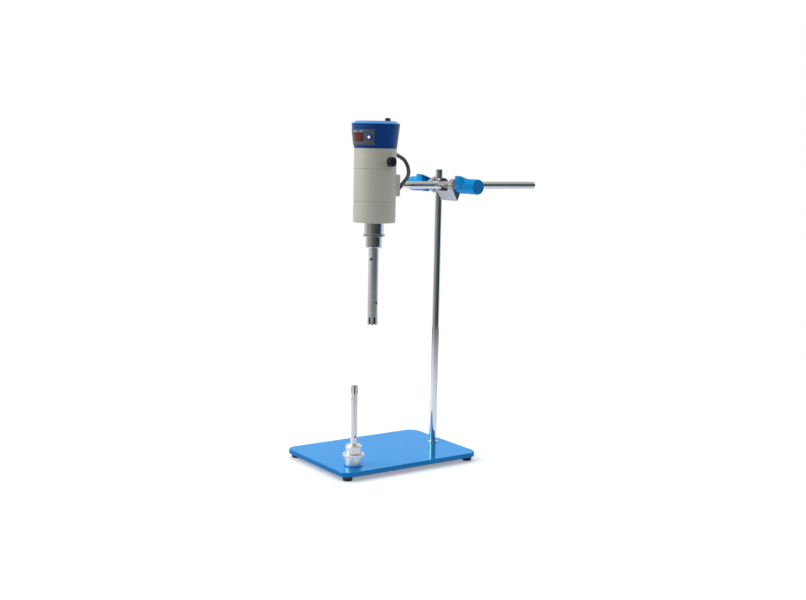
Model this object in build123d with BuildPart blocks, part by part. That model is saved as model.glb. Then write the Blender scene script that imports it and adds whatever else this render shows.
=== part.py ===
"""Rotor stator homogenizer on a bench stand.

Blue stand plate on four feet, chromed column, cross clamp with two plastic
knobs, support arm, motor unit with control cap, a mounted work head and a
spare work head that stands on the plate. Millimetres, +Z up. The origin is the
middle of the whole object's outline at bench level. The plate's long side runs
along X, and the control panel looks towards -X.
"""
from build123d import *
from math import atan, cos, pi, radians, sin, tan
import os

os.makedirs("parts", exist_ok=True)

# ---------------------------------------------------------------- fits
seat_gap = 0.02            # pieces that are fixed to each other
running_gap = 0.08         # shafts in bushes and bearings, threads that turn
body_gap = 0.3             # pieces that move past each other

# ---------------------------------------------------------------- stand plate
plate_length = 280.0
plate_width = 200.0
plate_thickness = 8.0
plate_corner = 20.0
plate_edge_round = 1.5
foot_height = 8.0
foot_radius = 9.0
foot_inset = 15.0
foot_taper = 8.0
foot_edge_round = 0.8
foot_screw_radius = 2.0
foot_screw_head_radius = 3.8
foot_screw_head_height = 2.4
foot_screw_depth = 5.0     # how far each foot screw reaches into the plate

# ---------------------------------------------------------------- column
column_radius = 6.5
column_above_arm = 27.5    # top of the column over the arm's axis
column_offset = 112.0      # from the plate's middle, towards its right end
column_chamfer = 1.0
column_spigot_radius = 5.0
column_washer_radius = 9.0
column_washer_thickness = 2.0
column_washer_edge = 0.4
column_nut_flats = 16.0
column_nut_height = 5.0

# ---------------------------------------------------------------- arm
arm_radius = 6.5
arm_height = 468.0         # axis of the arm above the plate
arm_in_front = 20.0        # the arm's axis passes this far in front of the column's
motor_reach = 150.0        # column axis to motor axis
arm_tail = 207.0           # column axis to the arm's free end
arm_nose_chamfer = 4.0
arm_cone_start = 62.0      # from the motor axis
arm_cone_end = 72.0
arm_spigot_radius = 4.0
arm_spigot_depth = 7.0     # how far the spigot reaches into the mounting pad
arm_nut_flats = 13.0
arm_nut_height = 6.5
arm_nut_edge = 0.6

# ---------------------------------------------------------------- cross clamp
clamp_round = 12.5         # round upper part of the front jaw
clamp_bottom = 26.5        # below the arm's axis
clamp_toe_radius = 1.8     # rounds the clamp's lower edge
clamp_toe_shift = 1.8
clamp_front_wall = 11.2
clamp_rear_wall = 9.9
arm_jaw_width = 28.0
arm_jaw_floor = 3.0        # gap under the arm
clamp_hex_radius = 14.5    # hexagonal rear jaw, to its corners
clamp_boss_radius = 10.0   # round boss behind the rear jaw
clamp_boss_length = 4.8
clamp_edge = 1.0

# ---------------------------------------------------------------- clamp knobs
knob_length = 47.3
knob_hub_length = 15.0
knob_flare_end = 27.0
knob_grip_radius = 13.0
knob_hub_top_width = 21.0
knob_hub_low_width = 15.0
knob_hub_rise = 18.0       # the hub's wing above the screw's axis
knob_hub_corner = 3.5
knob_standoff = 12.0       # screw seen between the clamp and the knob
knob_cap_radius = 11.0
knob_cap_thickness = 1.5
knob_cap_recess = 0.5
clamp_screw_radius = 4.0
clamp_screw_in_knob = 30.0
clamp_screw_tip_edge = 1.0
ferrule_radius = 6.5
ferrule_length = 6.0
ferrule_edge = 0.8

# ---------------------------------------------------------------- motor housings
housing_radius = 36.0
housing_wall = 3.0
housing_below_arm = 62.6   # lower face of the motor unit under the arm's axis
lower_housing_height = 35.6
middle_housing_height = 55.0
upper_housing_height = 33.9
seam_chamfer = 0.6
bottom_round = 1.5
floor_thickness = 4.0
pad_width = 32.0
pad_height = 37.0
pad_proud = 5.0
pad_corner = 3.0
pad_below_axis = 18.5      # lower edge of the pad under the arm's axis
spider_thickness = 4.0
spider_height = 24.0       # above the upper housing's lower edge
spider_boss_drop = 2.0     # the bearing's boss hangs this far under the spider
spider_vent_count = 3
spider_vent_start = 60.0   # plan angle of the first vent
spider_vent_radius = 6.0

# ---------------------------------------------------------------- control cap
cap_foot_radius = 36.3
cap_rim_radius = 41.0
cap_height = 40.8
cap_wall = 2.5
lid_height = 4.5
lid_top_radius = 34.0
lid_wall = 2.2
panel_low = 5.2            # above the cap's foot
panel_high = 31.2
panel_middle = -180.0      # plan angle of the panel's middle
panel_half_angle = 54.0
panel_thickness = 0.8
display_low = 11.7
display_high = 24.7
display_middle = -172.0
display_half_angle = 17.0
display_thickness = 0.6
module_depth = 8.0
module_width = 17.0
button_radius = 4.0
button_height = 18.4       # above the cap's foot
button_angle = -139.0
button_proud = 1.6
button_edge_round = 0.5
button_travel = 1.0
button_stem_radius = 2.0
button_stem_length = 7.0
switch_size = 8.0
bezel_radius = 5.0
bezel_proud = 0.9
dial_from_axis = 24.0
dial_radius = 5.0
dial_height = 5.5
dial_taper = 4.0
dial_top_round = 1.6
dial_grip_count = 12
dial_grip_radius = 0.7
dial_grip_out = 0.2        # the grip cuts' centres, outside the dial's radius
dial_skirt = 1.2           # plain foot under the grip cuts
dial_shaft_radius = 2.5
dial_shaft_length = 18.0
pot_radius = 8.0
board_thickness = 1.6
board_height = 8.0         # above the cap's foot

# ---------------------------------------------------------------- motor
shaft_radius = 4.0
shaft_edge = 0.5
bearing_radius = 11.0
bearing_width = 7.0
bearing_groove_outer = 8.8
bearing_groove_inner = 6.6
bearing_groove_depth = 0.6
core_radius = 19.0
core_length = 38.0
core_slot_count = 12
core_slot_width = 2.6
core_slot_depth = 7.0
field_gap = 0.6
field_radius = 32.0
field_length = 40.0
field_ring_wall = 6.0
pole_width = 24.7
pole_depth = 12.8
pole_middle = 22.4         # from the motor's axis
field_base = 8.0           # above the middle housing's lower edge
coil_length = 6.0
coil_inner_radius = 22.0
commutator_radius = 11.0
commutator_length = 16.0
commutator_slot_depth = 0.5
commutator_slot_width = 0.5
brush_height = 12.0        # brush axis above the upper housing's lower edge
brush_angle = -81.0
brush_width = 6.0
brush_length = 17.0
brush_holder_radius = 5.5
brush_cap_radius = 7.9
brush_cap_proud = 9.3
brush_cap_edge = 0.8
brush_slot_width = 1.6
brush_slot_depth = 1.2
brush_boss_radius = 9.6
brush_boss_proud = 0.8
fan_radius = 28.0
fan_hub_radius = 9.0
fan_height = 9.0
fan_base = 17.0            # above the motor unit's lower face
fan_blade_count = 9
fan_blade_thickness = 1.5
fan_blade_overlap = 0.5    # each blade runs this far into the hub
nose_radius = 12.5
nose_length = 11.0
nose_flange_radius = 20.0
nose_flange_thickness = 4.0
nose_bore_radius = 8.0
nose_screw_count = 3
nose_screw_radius = 1.9
nose_screw_head_radius = 3.2
socket_radius = 6.5
socket_length = 12.0
socket_flats = 6.6

# ---------------------------------------------------------------- motor lead
lead_radius = 3.25
gland_radius = 5.6
gland_length = 6.0
gland_lip_radius = 4.4
outlet_radius = 3.9

# ---------------------------------------------------------------- work heads
collar_flange_thickness = 2.6
collar_neck_radius = 10.0
collar_seat_depth = 6.0
head_hex_flats = 6.0
head_hex_reach = 7.0       # into the drive socket
stator_wall = 1.5
stator_slot_count = 6
bush_length = 8.0
rotor_length = 12.0
rotor_hub_wall = 1.2
rotor_gap = 0.4
rotor_tip_recess = 1.0
rotor_blade_count = 4
rotor_blade_thickness = 2.0
ring_flute_count = 24
ring_flute_radius = 1.0
ring_flute_out = 0.4       # the flutes' centres, outside the ring's radius
nut_edge = 1.2
ring_edge = 0.8
collar_shoulder_run = 2.0
collar_shoulder_drop = 2.4

work_nut_radius = 16.75
work_nut_height = 19.1
work_ring_radius = 18.4
work_ring_height = 4.9
work_collar_radius = 14.0
work_collar_height = 19.4
work_tube_radius = 8.6
work_tube_length = 131.9   # below the collar
work_slot_width = 3.5
work_slot_length = 13.0
work_slot_turn = 39.5      # turns the slots round the head's axis
work_hole_radius = 2.3
work_upper_hole = 18.8     # below the collar
work_upper_hole_angle = -151.0
work_lower_hole = 38.1     # above the tip
work_lower_hole_angle = -75.0
work_spindle_radius = 3.0

spare_offset_x = -97.7     # from the plate's middle
spare_offset_y = -59.7
spare_nut_radius = 15.8
spare_nut_height = 15.8
spare_ring_radius = 18.5
spare_ring_height = 5.0
spare_collar_radius = 13.75
spare_collar_height = 14.8
spare_tube_radius = 5.6
spare_tube_length = 101.5
spare_slot_width = 2.2
spare_slot_length = 14.0
spare_slot_turn = 0.0
spare_hole_radius = 1.6
spare_lower_hole = 13.9    # above the collar
spare_lower_hole_angle = -96.0
spare_upper_hole = 24.0    # below the tip
spare_upper_hole_angle = -175.0
spare_spindle_radius = 2.2

# ---------------------------------------------------------------- places
plate_top = foot_height + plate_thickness
clamp_rear_half = column_radius + body_gap
arm_jaw_rear = arm_in_front - arm_radius - body_gap
arm_jaw_front = arm_jaw_rear + arm_jaw_width
clamp_front = arm_jaw_front + clamp_front_wall
clamp_rear = clamp_rear_half + body_gap + clamp_rear_wall + clamp_boss_length
knob_front_end = clamp_front + knob_standoff + knob_length

plate_x = -(column_offset + arm_tail - plate_length / 2) / 2
plate_y = (knob_front_end - plate_width / 2) / 2
column_x = plate_x + column_offset
column_y = plate_y
arm_y = column_y - arm_in_front
arm_z = plate_top + arm_height
motor_x = column_x - motor_reach
motor_y = arm_y
motor_z = arm_z - housing_below_arm
middle_z = motor_z + lower_housing_height
upper_z = middle_z + middle_housing_height
cap_z = upper_z + upper_housing_height
lid_z = cap_z + cap_height

motor_axis = Axis((motor_x, motor_y, 0), (0, 0, 1))
inner_radius = housing_radius - housing_wall


def level(height, x=0.0, y=0.0):
    """Horizontal plane at a height, with its origin over a point."""
    return Plane(origin=(x, y, height), x_dir=(1, 0, 0), z_dir=(0, 0, 1))


def motor_level(height):
    """Horizontal plane round the motor's axis."""
    return level(height, motor_x, motor_y)


def facing_front(x, y, z):
    """Upright plane that looks towards -Y, with Z up on it."""
    return Plane(origin=(x, y, z), x_dir=(1, 0, 0), z_dir=(0, -1, 0))


def facing_back(x, y, z):
    """Upright plane that looks towards +Y, with Z up on it."""
    return Plane(origin=(x, y, z), x_dir=(-1, 0, 0), z_dir=(0, 1, 0))


def facing_out(angle, from_axis, height):
    """Upright plane that looks away from the motor's axis at a plan angle."""
    out_x = cos(radians(angle))
    out_y = sin(radians(angle))
    return Plane(
        origin=(motor_x + from_axis * out_x, motor_y + from_axis * out_y, height),
        x_dir=(-out_y, out_x, 0),
        z_dir=(out_x, out_y, 0),
    )


def half_section(x, y, z, angle=0.0):
    """Upright plane through a vertical axis: local X is the radius, local Y is up."""
    out_x = cos(radians(angle))
    out_y = sin(radians(angle))
    return Plane(origin=(x, y, z), x_dir=(out_x, out_y, 0), z_dir=(out_y, -out_x, 0))


# Motor lead's route: it leaves the upper housing's back, bows out over the
# arm's root and comes down in front of it to the mounting pad. The points are
# from the motor's axis and the arm's height.
lead_points = [
    (42.2, 0.0, 51.6),
    (56.2, -0.5, 46.9),
    (64.4, -3.0, 35),
    (65.1, -7.0, 23.5),
    (59.9, -11.0, 13.9),
    (51.1, -12.8, 6.3),
    (44.4, -12.4, -0.8),
]
lead_route = [Vector(motor_x, motor_y, arm_z) + Vector(*point) for point in lead_points]
lead_exit = Plane(origin=lead_route[0], z_dir=lead_route[1] - lead_route[0])
lead_entry = Plane(origin=lead_route[-1], z_dir=lead_route[-2] - lead_route[-1])


def route_radii(points):
    """Arc radius for each corner: 0.45 of the shorter run over tan(turn / 2)."""
    radii = []
    for before, corner, after in zip(points, points[1:], points[2:]):
        run_in = corner - before
        run_out = after - corner
        turn = radians(run_in.get_angle(run_out))
        radii.append(0.45 * min(run_in.length, run_out.length) / tan(turn / 2))
    return radii


# ================================================================ stand
foot_places = [
    (plate_x + side_x * (plate_length / 2 - foot_inset), plate_y + side_y * (plate_width / 2 - foot_inset))
    for side_x in (-1, 1)
    for side_y in (-1, 1)
]

# Stand plate: thick steel plate with round corners and a softened upper edge.
with BuildPart() as base_plate:
    with BuildSketch(level(foot_height, plate_x, plate_y)):
        RectangleRounded(plate_length, plate_width, plate_corner)
    extrude(amount=plate_thickness)
    fillet(base_plate.edges().group_by(Axis.Z)[-1], plate_edge_round)
    chamfer(base_plate.edges().group_by(Axis.Z)[0], plate_edge_round / 2)
    with BuildSketch(level(foot_height, column_x, column_y)):
        Circle(column_spigot_radius + running_gap)
    extrude(amount=plate_thickness, mode=Mode.SUBTRACT)
    with BuildSketch(level(foot_height)):
        with Locations(*foot_places):
            Circle(foot_screw_radius + seat_gap)
    extrude(amount=foot_screw_depth + seat_gap, mode=Mode.SUBTRACT)
base_plate.part.label = "base_plate"
export_step(base_plate.part, "parts/base_plate.step")

# Rubber feet: tapered pucks with a recess for the screw's head.
with BuildPart() as feet:
    with BuildSketch(level(foot_height)):
        with Locations(*foot_places):
            Circle(foot_radius)
    extrude(amount=-foot_height, taper=foot_taper)
    fillet(feet.edges().group_by(Axis.Z)[0], foot_edge_round)
    with BuildSketch(level(0)):
        with Locations(*foot_places):
            Circle(foot_screw_head_radius + body_gap)
    extrude(amount=foot_screw_head_height + body_gap, mode=Mode.SUBTRACT)
    with BuildSketch(level(0)):
        with Locations(*foot_places):
            Circle(foot_screw_radius + seat_gap)
    extrude(amount=foot_height, mode=Mode.SUBTRACT)
feet.part.label = "feet"
export_step(feet.part, "parts/feet.step")

# Pan head screws that hold the feet.
with BuildPart() as foot_screws:
    with BuildSketch(level(body_gap)):
        with Locations(*foot_places):
            Circle(foot_screw_head_radius)
    extrude(amount=foot_screw_head_height)
    with BuildSketch(level(body_gap)):
        with Locations(*foot_places):
            Circle(foot_screw_radius)
    extrude(amount=foot_height + foot_screw_depth - body_gap)
foot_screws.part.label = "foot_screws"
export_step(foot_screws.part, "parts/foot_screws.step")

# Washer under the column's shoulder.
with BuildPart() as column_washer:
    with BuildSketch(level(plate_top, column_x, column_y)):
        Circle(column_washer_radius)
        Circle(column_spigot_radius + running_gap, mode=Mode.SUBTRACT)
    extrude(amount=column_washer_thickness)
    chamfer(column_washer.edges().group_by(Axis.Z)[-1].sort_by(SortBy.RADIUS)[-1], column_washer_edge)
column_washer.part.label = "column_washer"
export_step(column_washer.part, "parts/column_washer.step")

# Column: chromed rod, turned down at its foot to pass through the plate.
column_shoulder = plate_top + column_washer_thickness + body_gap
column_nut_top = foot_height - body_gap
with BuildPart() as column:
    with BuildSketch(level(column_shoulder, column_x, column_y)):
        Circle(column_radius)
    extrude(amount=arm_z + column_above_arm - column_shoulder)
    chamfer(column.edges().group_by(Axis.Z)[-1], column_chamfer)
    with BuildSketch(level(column_shoulder, column_x, column_y)):
        Circle(column_spigot_radius)
    extrude(amount=-(column_shoulder - column_nut_top + column_nut_height))
column.part.label = "column"
export_step(column.part, "parts/column.step")

# Nut under the plate, on the column's threaded foot.
with BuildPart() as column_nut:
    with BuildSketch(level(column_nut_top - column_nut_height, column_x, column_y)):
        RegularPolygon(column_nut_flats / 2, 6, major_radius=False)
        Circle(column_spigot_radius + seat_gap, mode=Mode.SUBTRACT)
    extrude(amount=column_nut_height)
column_nut.part.label = "column_nut"
export_step(column_nut.part, "parts/column_nut.step")

# ================================================================ cross clamp
# One casting with two open jaws at right angles: the front jaw is open at its
# top for the arm, the rear jaw is open on its left for the column.
arm_jaw_bottom = arm_radius + arm_jaw_floor
with BuildPart() as clamp_block:
    with BuildSketch(facing_front(column_x, column_y - clamp_rear_half, arm_z)):
        Circle(clamp_round)
        with Locations((clamp_toe_shift, clamp_toe_radius - clamp_bottom)):
            Circle(clamp_toe_radius)
        make_hull()
    extrude(amount=clamp_front - clamp_rear_half)
    chamfer(clamp_block.edges().group_by(Axis.Y)[0], clamp_edge)
    with BuildSketch(facing_front(column_x, column_y + clamp_rear - clamp_boss_length, arm_z)):
        RegularPolygon(clamp_hex_radius, 6, rotation=30)
    extrude(amount=clamp_rear - clamp_boss_length + clamp_rear_half)
    chamfer(clamp_block.edges().group_by(Axis.Y)[-1], clamp_edge)
    with BuildSketch(facing_front(column_x, column_y + clamp_rear, arm_z)):
        Circle(clamp_boss_radius)
    extrude(amount=clamp_boss_length + clamp_edge)
    chamfer(clamp_block.edges().group_by(Axis.Y)[-1], clamp_edge)
    with BuildSketch(facing_front(column_x, column_y - arm_jaw_rear, arm_z)):
        with Locations((0, -arm_jaw_bottom)):
            Rectangle(
                3 * clamp_round,
                2 * clamp_round + arm_jaw_bottom,
                align=(Align.CENTER, Align.MIN),
            )
    extrude(amount=arm_jaw_width, mode=Mode.SUBTRACT)
    with BuildSketch(level(arm_z - 2 * clamp_bottom, column_x, column_y)):
        with Locations((clamp_rear_half, 0)):
            Rectangle(
                3 * clamp_hex_radius,
                2 * clamp_rear_half + body_gap,
                align=(Align.MAX, Align.CENTER),
            )
    extrude(amount=4 * clamp_bottom, mode=Mode.SUBTRACT)
    with BuildSketch(facing_front(column_x, column_y - arm_jaw_front, arm_z)):
        Circle(clamp_screw_radius + running_gap)
    extrude(amount=2 * clamp_front_wall, mode=Mode.SUBTRACT)
    with BuildSketch(facing_back(column_x, column_y + clamp_rear_half, arm_z)):
        Circle(clamp_screw_radius + running_gap)
    extrude(amount=2 * clamp_rear, mode=Mode.SUBTRACT)
clamp_block.part.label = "clamp_block"
export_step(clamp_block.part, "parts/clamp_block.step")


# Clamp knobs: moulded grip that swells into a hub with a wing on top.
def make_knob(plane):
    """Knob whose hub face lies on the plane; the grip points along its normal."""
    with BuildPart() as knob:
        for along in (0, knob_hub_length):
            with BuildSketch(plane.offset(along)):
                with BuildLine():
                    Polyline(
                        (-knob_hub_low_width / 2, -knob_grip_radius),
                        (knob_hub_low_width / 2, -knob_grip_radius),
                        (knob_hub_top_width / 2, knob_hub_rise),
                        (-knob_hub_top_width / 2, knob_hub_rise),
                        close=True,
                    )
                hub_section = make_face()
                fillet(hub_section.vertices(), knob_hub_corner)
            if along == 0:
                extrude(amount=knob_hub_length)
        with BuildSketch(plane.offset(knob_flare_end)):
            RectangleRounded(2 * knob_grip_radius, 2 * knob_grip_radius, knob_grip_radius - 0.1)
        loft()
        with BuildSketch(plane.offset(knob_flare_end)):
            Circle(knob_grip_radius)
        extrude(amount=knob_length - knob_flare_end)
        with BuildSketch(plane.offset(knob_length)):
            Circle(knob_cap_radius + seat_gap)
        extrude(amount=-(knob_cap_thickness + knob_cap_recess), mode=Mode.SUBTRACT)
        with BuildSketch(plane):
            Circle(clamp_screw_radius + seat_gap)
        extrude(amount=clamp_screw_in_knob, mode=Mode.SUBTRACT)
    return knob


def make_knob_cap(plane):
    """Press-in disc that closes the end of the grip."""
    with BuildPart() as cap:
        with BuildSketch(plane.offset(knob_length - knob_cap_recess)):
            Circle(knob_cap_radius)
        extrude(amount=-knob_cap_thickness)
    return cap


def make_clamp_screw(plane, to_rod):
    """Screw from inside the knob to the rod that it presses on, with a ferrule at the hub."""
    with BuildPart() as screw:
        with BuildSketch(plane.offset(clamp_screw_in_knob)):
            Circle(clamp_screw_radius)
        extrude(amount=-(clamp_screw_in_knob + to_rod))
        tip = screw.edges().filter_by(GeomType.CIRCLE).sort_by(Axis(plane.origin, plane.z_dir))[0]
        chamfer(tip, clamp_screw_tip_edge)
        with BuildSketch(plane.offset(-seat_gap)):
            Circle(ferrule_radius)
        extrude(amount=-ferrule_length)
        rim = screw.edges().filter_by(GeomType.CIRCLE).sort_by(SortBy.RADIUS)[-2:]
        chamfer(rim, ferrule_edge)
    return screw


arm_knob_plane = facing_front(column_x, column_y - clamp_front - knob_standoff, arm_z)
column_knob_plane = facing_back(column_x, column_y + clamp_rear + knob_standoff, arm_z)
arm_screw_reach = clamp_front + knob_standoff - arm_in_front - arm_radius - body_gap
column_screw_reach = clamp_rear + knob_standoff - column_radius - body_gap

arm_clamp_knob = make_knob(arm_knob_plane)
arm_clamp_knob.part.label = "arm_clamp_knob"
export_step(arm_clamp_knob.part, "parts/arm_clamp_knob.step")

arm_knob_cap = make_knob_cap(arm_knob_plane)
arm_knob_cap.part.label = "arm_knob_cap"
export_step(arm_knob_cap.part, "parts/arm_knob_cap.step")

arm_clamp_screw = make_clamp_screw(arm_knob_plane, arm_screw_reach)
arm_clamp_screw.part.label = "arm_clamp_screw"
export_step(arm_clamp_screw.part, "parts/arm_clamp_screw.step")

column_clamp_knob = make_knob(column_knob_plane)
column_clamp_knob.part.label = "column_clamp_knob"
export_step(column_clamp_knob.part, "parts/column_clamp_knob.step")

column_knob_cap = make_knob_cap(column_knob_plane)
column_knob_cap.part.label = "column_knob_cap"
export_step(column_knob_cap.part, "parts/column_knob_cap.step")

column_clamp_screw = make_clamp_screw(column_knob_plane, column_screw_reach)
column_clamp_screw.part.label = "column_clamp_screw"
export_step(column_clamp_screw.part, "parts/column_clamp_screw.step")

# ================================================================ arm
# Turned rod: bevelled free end, cone and threaded spigot at the motor's end.
pad_face = housing_radius + pad_proud
arm_tip = motor_reach + arm_tail
with BuildPart() as arm_rod:
    with BuildSketch(facing_front(motor_x, arm_y, arm_z)):
        with BuildLine():
            Polyline(
                (pad_face - arm_spigot_depth, 0),
                (pad_face - arm_spigot_depth, arm_spigot_radius),
                (arm_cone_start, arm_spigot_radius),
                (arm_cone_end, arm_radius),
                (arm_tip - arm_nose_chamfer, arm_radius),
                (arm_tip, arm_radius - arm_nose_chamfer),
                (arm_tip, 0),
                close=True,
            )
        make_face()
    revolve(axis=Axis((motor_x, arm_y, arm_z), (1, 0, 0)))
arm_rod.part.label = "arm_rod"
export_step(arm_rod.part, "parts/arm_rod.step")

# Lock nut that jams the spigot's thread against the mounting pad.
arm_nut_plane = Plane(
    origin=(motor_x + pad_face + body_gap, arm_y, arm_z), x_dir=(0, 1, 0), z_dir=(1, 0, 0)
)
with BuildPart() as arm_lock_nut:
    with BuildSketch(arm_nut_plane):
        RegularPolygon(arm_nut_flats / 2, 6, major_radius=False)
    extrude(amount=arm_nut_height)
    chamfer(arm_lock_nut.edges().group_by(Axis.X)[-1], arm_nut_edge)
    with BuildSketch(arm_nut_plane):
        Circle(arm_spigot_radius + seat_gap)
    extrude(amount=arm_nut_height, mode=Mode.SUBTRACT)
arm_lock_nut.part.label = "arm_lock_nut"
export_step(arm_lock_nut.part, "parts/arm_lock_nut.step")

# ================================================================ motor housings
# Lower housing: round cup whose floor carries the motor's nose.
with BuildPart() as lower_housing:
    with BuildSketch(motor_level(motor_z)):
        Circle(housing_radius)
    extrude(amount=lower_housing_height)
    fillet(lower_housing.edges().group_by(Axis.Z)[0], bottom_round)
    chamfer(lower_housing.edges().group_by(Axis.Z)[-1], seam_chamfer)
    with BuildSketch(motor_level(motor_z + floor_thickness)):
        Circle(inner_radius)
    extrude(amount=lower_housing_height, mode=Mode.SUBTRACT)
    with BuildSketch(motor_level(motor_z)):
        Circle(nose_radius + seat_gap)
        with PolarLocations((nose_radius + nose_flange_radius) / 2, nose_screw_count):
            Circle(nose_screw_radius + seat_gap)
    extrude(amount=floor_thickness, mode=Mode.SUBTRACT)
lower_housing.part.label = "lower_housing"
export_step(lower_housing.part, "parts/lower_housing.step")

# Middle housing: tube round the field, with the pad for the arm on its back.
pad_middle = arm_z - pad_below_axis + pad_height / 2
with BuildPart() as middle_housing:
    with BuildSketch(motor_level(middle_z)):
        Circle(housing_radius)
    extrude(amount=middle_housing_height)
    chamfer(middle_housing.faces().sort_by(Axis.Z)[0].edges(), seam_chamfer)
    chamfer(middle_housing.faces().sort_by(Axis.Z)[-1].edges(), seam_chamfer)
    with BuildSketch(facing_out(0, pad_face, pad_middle)):
        RectangleRounded(pad_width, pad_height, pad_corner)
    extrude(amount=-pad_face)
    with BuildSketch(motor_level(middle_z - 1)):
        Circle(inner_radius)
    extrude(amount=middle_housing_height + 2, mode=Mode.SUBTRACT)
    with BuildSketch(facing_out(0, pad_face, arm_z)):
        Circle(arm_spigot_radius + running_gap)
    extrude(amount=-2 * pad_proud - housing_wall, mode=Mode.SUBTRACT)
middle_housing.part.label = "middle_housing"
export_step(middle_housing.part, "parts/middle_housing.step")

# Upper housing: tube with brush bosses and a bearing spider near its top.
brush_z = upper_z + brush_height
spider_z = upper_z + spider_height
boss_z = spider_z - spider_boss_drop
boss_height = spider_thickness + spider_boss_drop
vent_circle = (inner_radius + bearing_radius + housing_wall) / 2
with BuildPart() as upper_housing:
    with BuildSketch(motor_level(upper_z)):
        Circle(housing_radius)
    extrude(amount=upper_housing_height)
    chamfer(upper_housing.faces().sort_by(Axis.Z)[0].edges(), seam_chamfer)
    for side in (0, 180):
        with BuildSketch(facing_out(brush_angle + side, housing_radius + brush_boss_proud, brush_z)):
            Circle(brush_boss_radius)
        extrude(amount=-housing_wall)
    with BuildSketch(motor_level(upper_z)):
        Circle(inner_radius)
    extrude(amount=upper_housing_height, mode=Mode.SUBTRACT)
    with BuildSketch(motor_level(spider_z)):
        Circle(inner_radius + housing_wall / 2)
        with PolarLocations(vent_circle, spider_vent_count, start_angle=spider_vent_start):
            Circle(spider_vent_radius, mode=Mode.SUBTRACT)
    extrude(amount=spider_thickness)
    with BuildSketch(motor_level(boss_z)):
        Circle(bearing_radius + housing_wall)
    extrude(amount=boss_height)
    with BuildSketch(motor_level(boss_z)):
        Circle(bearing_radius + seat_gap)
    extrude(amount=boss_height, mode=Mode.SUBTRACT)
    for side in (0, 180):
        with BuildSketch(facing_out(brush_angle + side, housing_radius + 2 * brush_boss_proud, brush_z)):
            Circle(brush_holder_radius + seat_gap)
        extrude(amount=-housing_radius / 2, mode=Mode.SUBTRACT)
    with BuildSketch(lead_exit):
        Circle(gland_radius + seat_gap)
    extrude(amount=-2 * gland_length - housing_wall, mode=Mode.SUBTRACT)
upper_housing.part.label = "upper_housing"
export_step(upper_housing.part, "parts/upper_housing.step")

# ================================================================ control cap
cap_slope = (cap_rim_radius - cap_foot_radius) / cap_height


def cap_radius(height):
    """Outside radius of the flared cap at a height above its foot."""
    return cap_foot_radius + cap_slope * height


def cap_facing(angle, height, proud):
    """Plane square to the cap's flared side, standing proud of it."""
    lean = atan(cap_slope)
    normal = Vector(cos(radians(angle)) * cos(lean), sin(radians(angle)) * cos(lean), -sin(lean))
    foot = Vector(motor_x, motor_y, cap_z + height) + Vector(
        cap_radius(height) * cos(radians(angle)), cap_radius(height) * sin(radians(angle)), 0
    )
    return Plane(
        origin=foot + normal * proud,
        x_dir=(-sin(radians(angle)), cos(radians(angle)), 0),
        z_dir=normal,
    )


# Control cap: flared shell, open below, with openings behind its controls.
with BuildPart() as control_cap:
    with BuildSketch(half_section(motor_x, motor_y, cap_z)):
        with BuildLine():
            Polyline(
                (cap_foot_radius - cap_wall, 0),
                (cap_foot_radius, 0),
                (cap_rim_radius, cap_height),
                (cap_rim_radius - cap_wall, cap_height),
                close=True,
            )
        make_face()
    revolve(axis=motor_axis)
    with BuildSketch(cap_facing(button_angle, button_height, cap_wall)):
        Circle(button_radius + body_gap)
    extrude(amount=-4 * cap_wall, mode=Mode.SUBTRACT)
control_cap.part.label = "control_cap"
export_step(control_cap.part, "parts/control_cap.step")

# Cap lid: low crown with a bevelled edge, bored for the speed dial's shaft.
dial_x = motor_x + dial_from_axis
with BuildPart() as cap_lid:
    with BuildSketch(half_section(motor_x, motor_y, lid_z)):
        with BuildLine():
            Polyline(
                (0, lid_height - lid_wall),
                (lid_top_radius - lid_wall, lid_height - lid_wall),
                (cap_rim_radius - cap_wall - seat_gap, 0),
                (cap_rim_radius, 0),
                (lid_top_radius, lid_height),
                (0, lid_height),
                close=True,
            )
        make_face()
    revolve(axis=motor_axis)
    with BuildSketch(level(lid_z, dial_x, motor_y)):
        Circle(dial_shaft_radius + running_gap)
    extrude(amount=2 * lid_height, mode=Mode.SUBTRACT)
cap_lid.part.label = "cap_lid"
export_step(cap_lid.part, "parts/cap_lid.step")


def wrapped_plate(low, high, inner, outer, middle_angle, half_angle, opening=None):
    """Thin plate wrapped on the cap; an opening is a plane and a radius."""
    section = half_section(motor_x, motor_y, cap_z, middle_angle - half_angle)
    with BuildPart() as plate:
        with BuildSketch(section):
            with BuildLine():
                Polyline(
                    (cap_radius(low) + inner, low),
                    (cap_radius(low) + outer, low),
                    (cap_radius(high) + outer, high),
                    (cap_radius(high) + inner, high),
                    close=True,
                )
            make_face()
        revolve(axis=motor_axis, revolution_arc=2 * half_angle)
        if opening:
            with BuildSketch(opening[0]):
                Circle(opening[1])
            extrude(amount=-4 * cap_wall, mode=Mode.SUBTRACT)
    return plate


# Control panel: thin grey plate wrapped on the cap, with the button's opening.
panel_outer = seat_gap + panel_thickness
bezel_top = panel_outer + bezel_proud
bezel_plane = cap_facing(button_angle, button_height, bezel_top)
control_panel = wrapped_plate(
    panel_low,
    panel_high,
    seat_gap,
    panel_outer,
    panel_middle,
    panel_half_angle,
    opening=(bezel_plane, bezel_radius + seat_gap),
)
control_panel.part.label = "control_panel"
export_step(control_panel.part, "parts/control_panel.step")

# Display window: dark filter that lies on the panel.
display_window = wrapped_plate(
    display_low,
    display_high,
    panel_outer + seat_gap,
    panel_outer + seat_gap + display_thickness,
    display_middle,
    display_half_angle,
)
display_window.part.label = "display_window"
export_step(display_window.part, "parts/display_window.step")

# Bezel: ring that the push button slides in.
with BuildPart() as button_bezel:
    with BuildSketch(bezel_plane):
        Circle(bezel_radius)
        Circle(button_radius + running_gap, mode=Mode.SUBTRACT)
    extrude(amount=-(bezel_top - seat_gap))
button_bezel.part.label = "button_bezel"
export_step(button_bezel.part, "parts/button_bezel.step")

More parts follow.
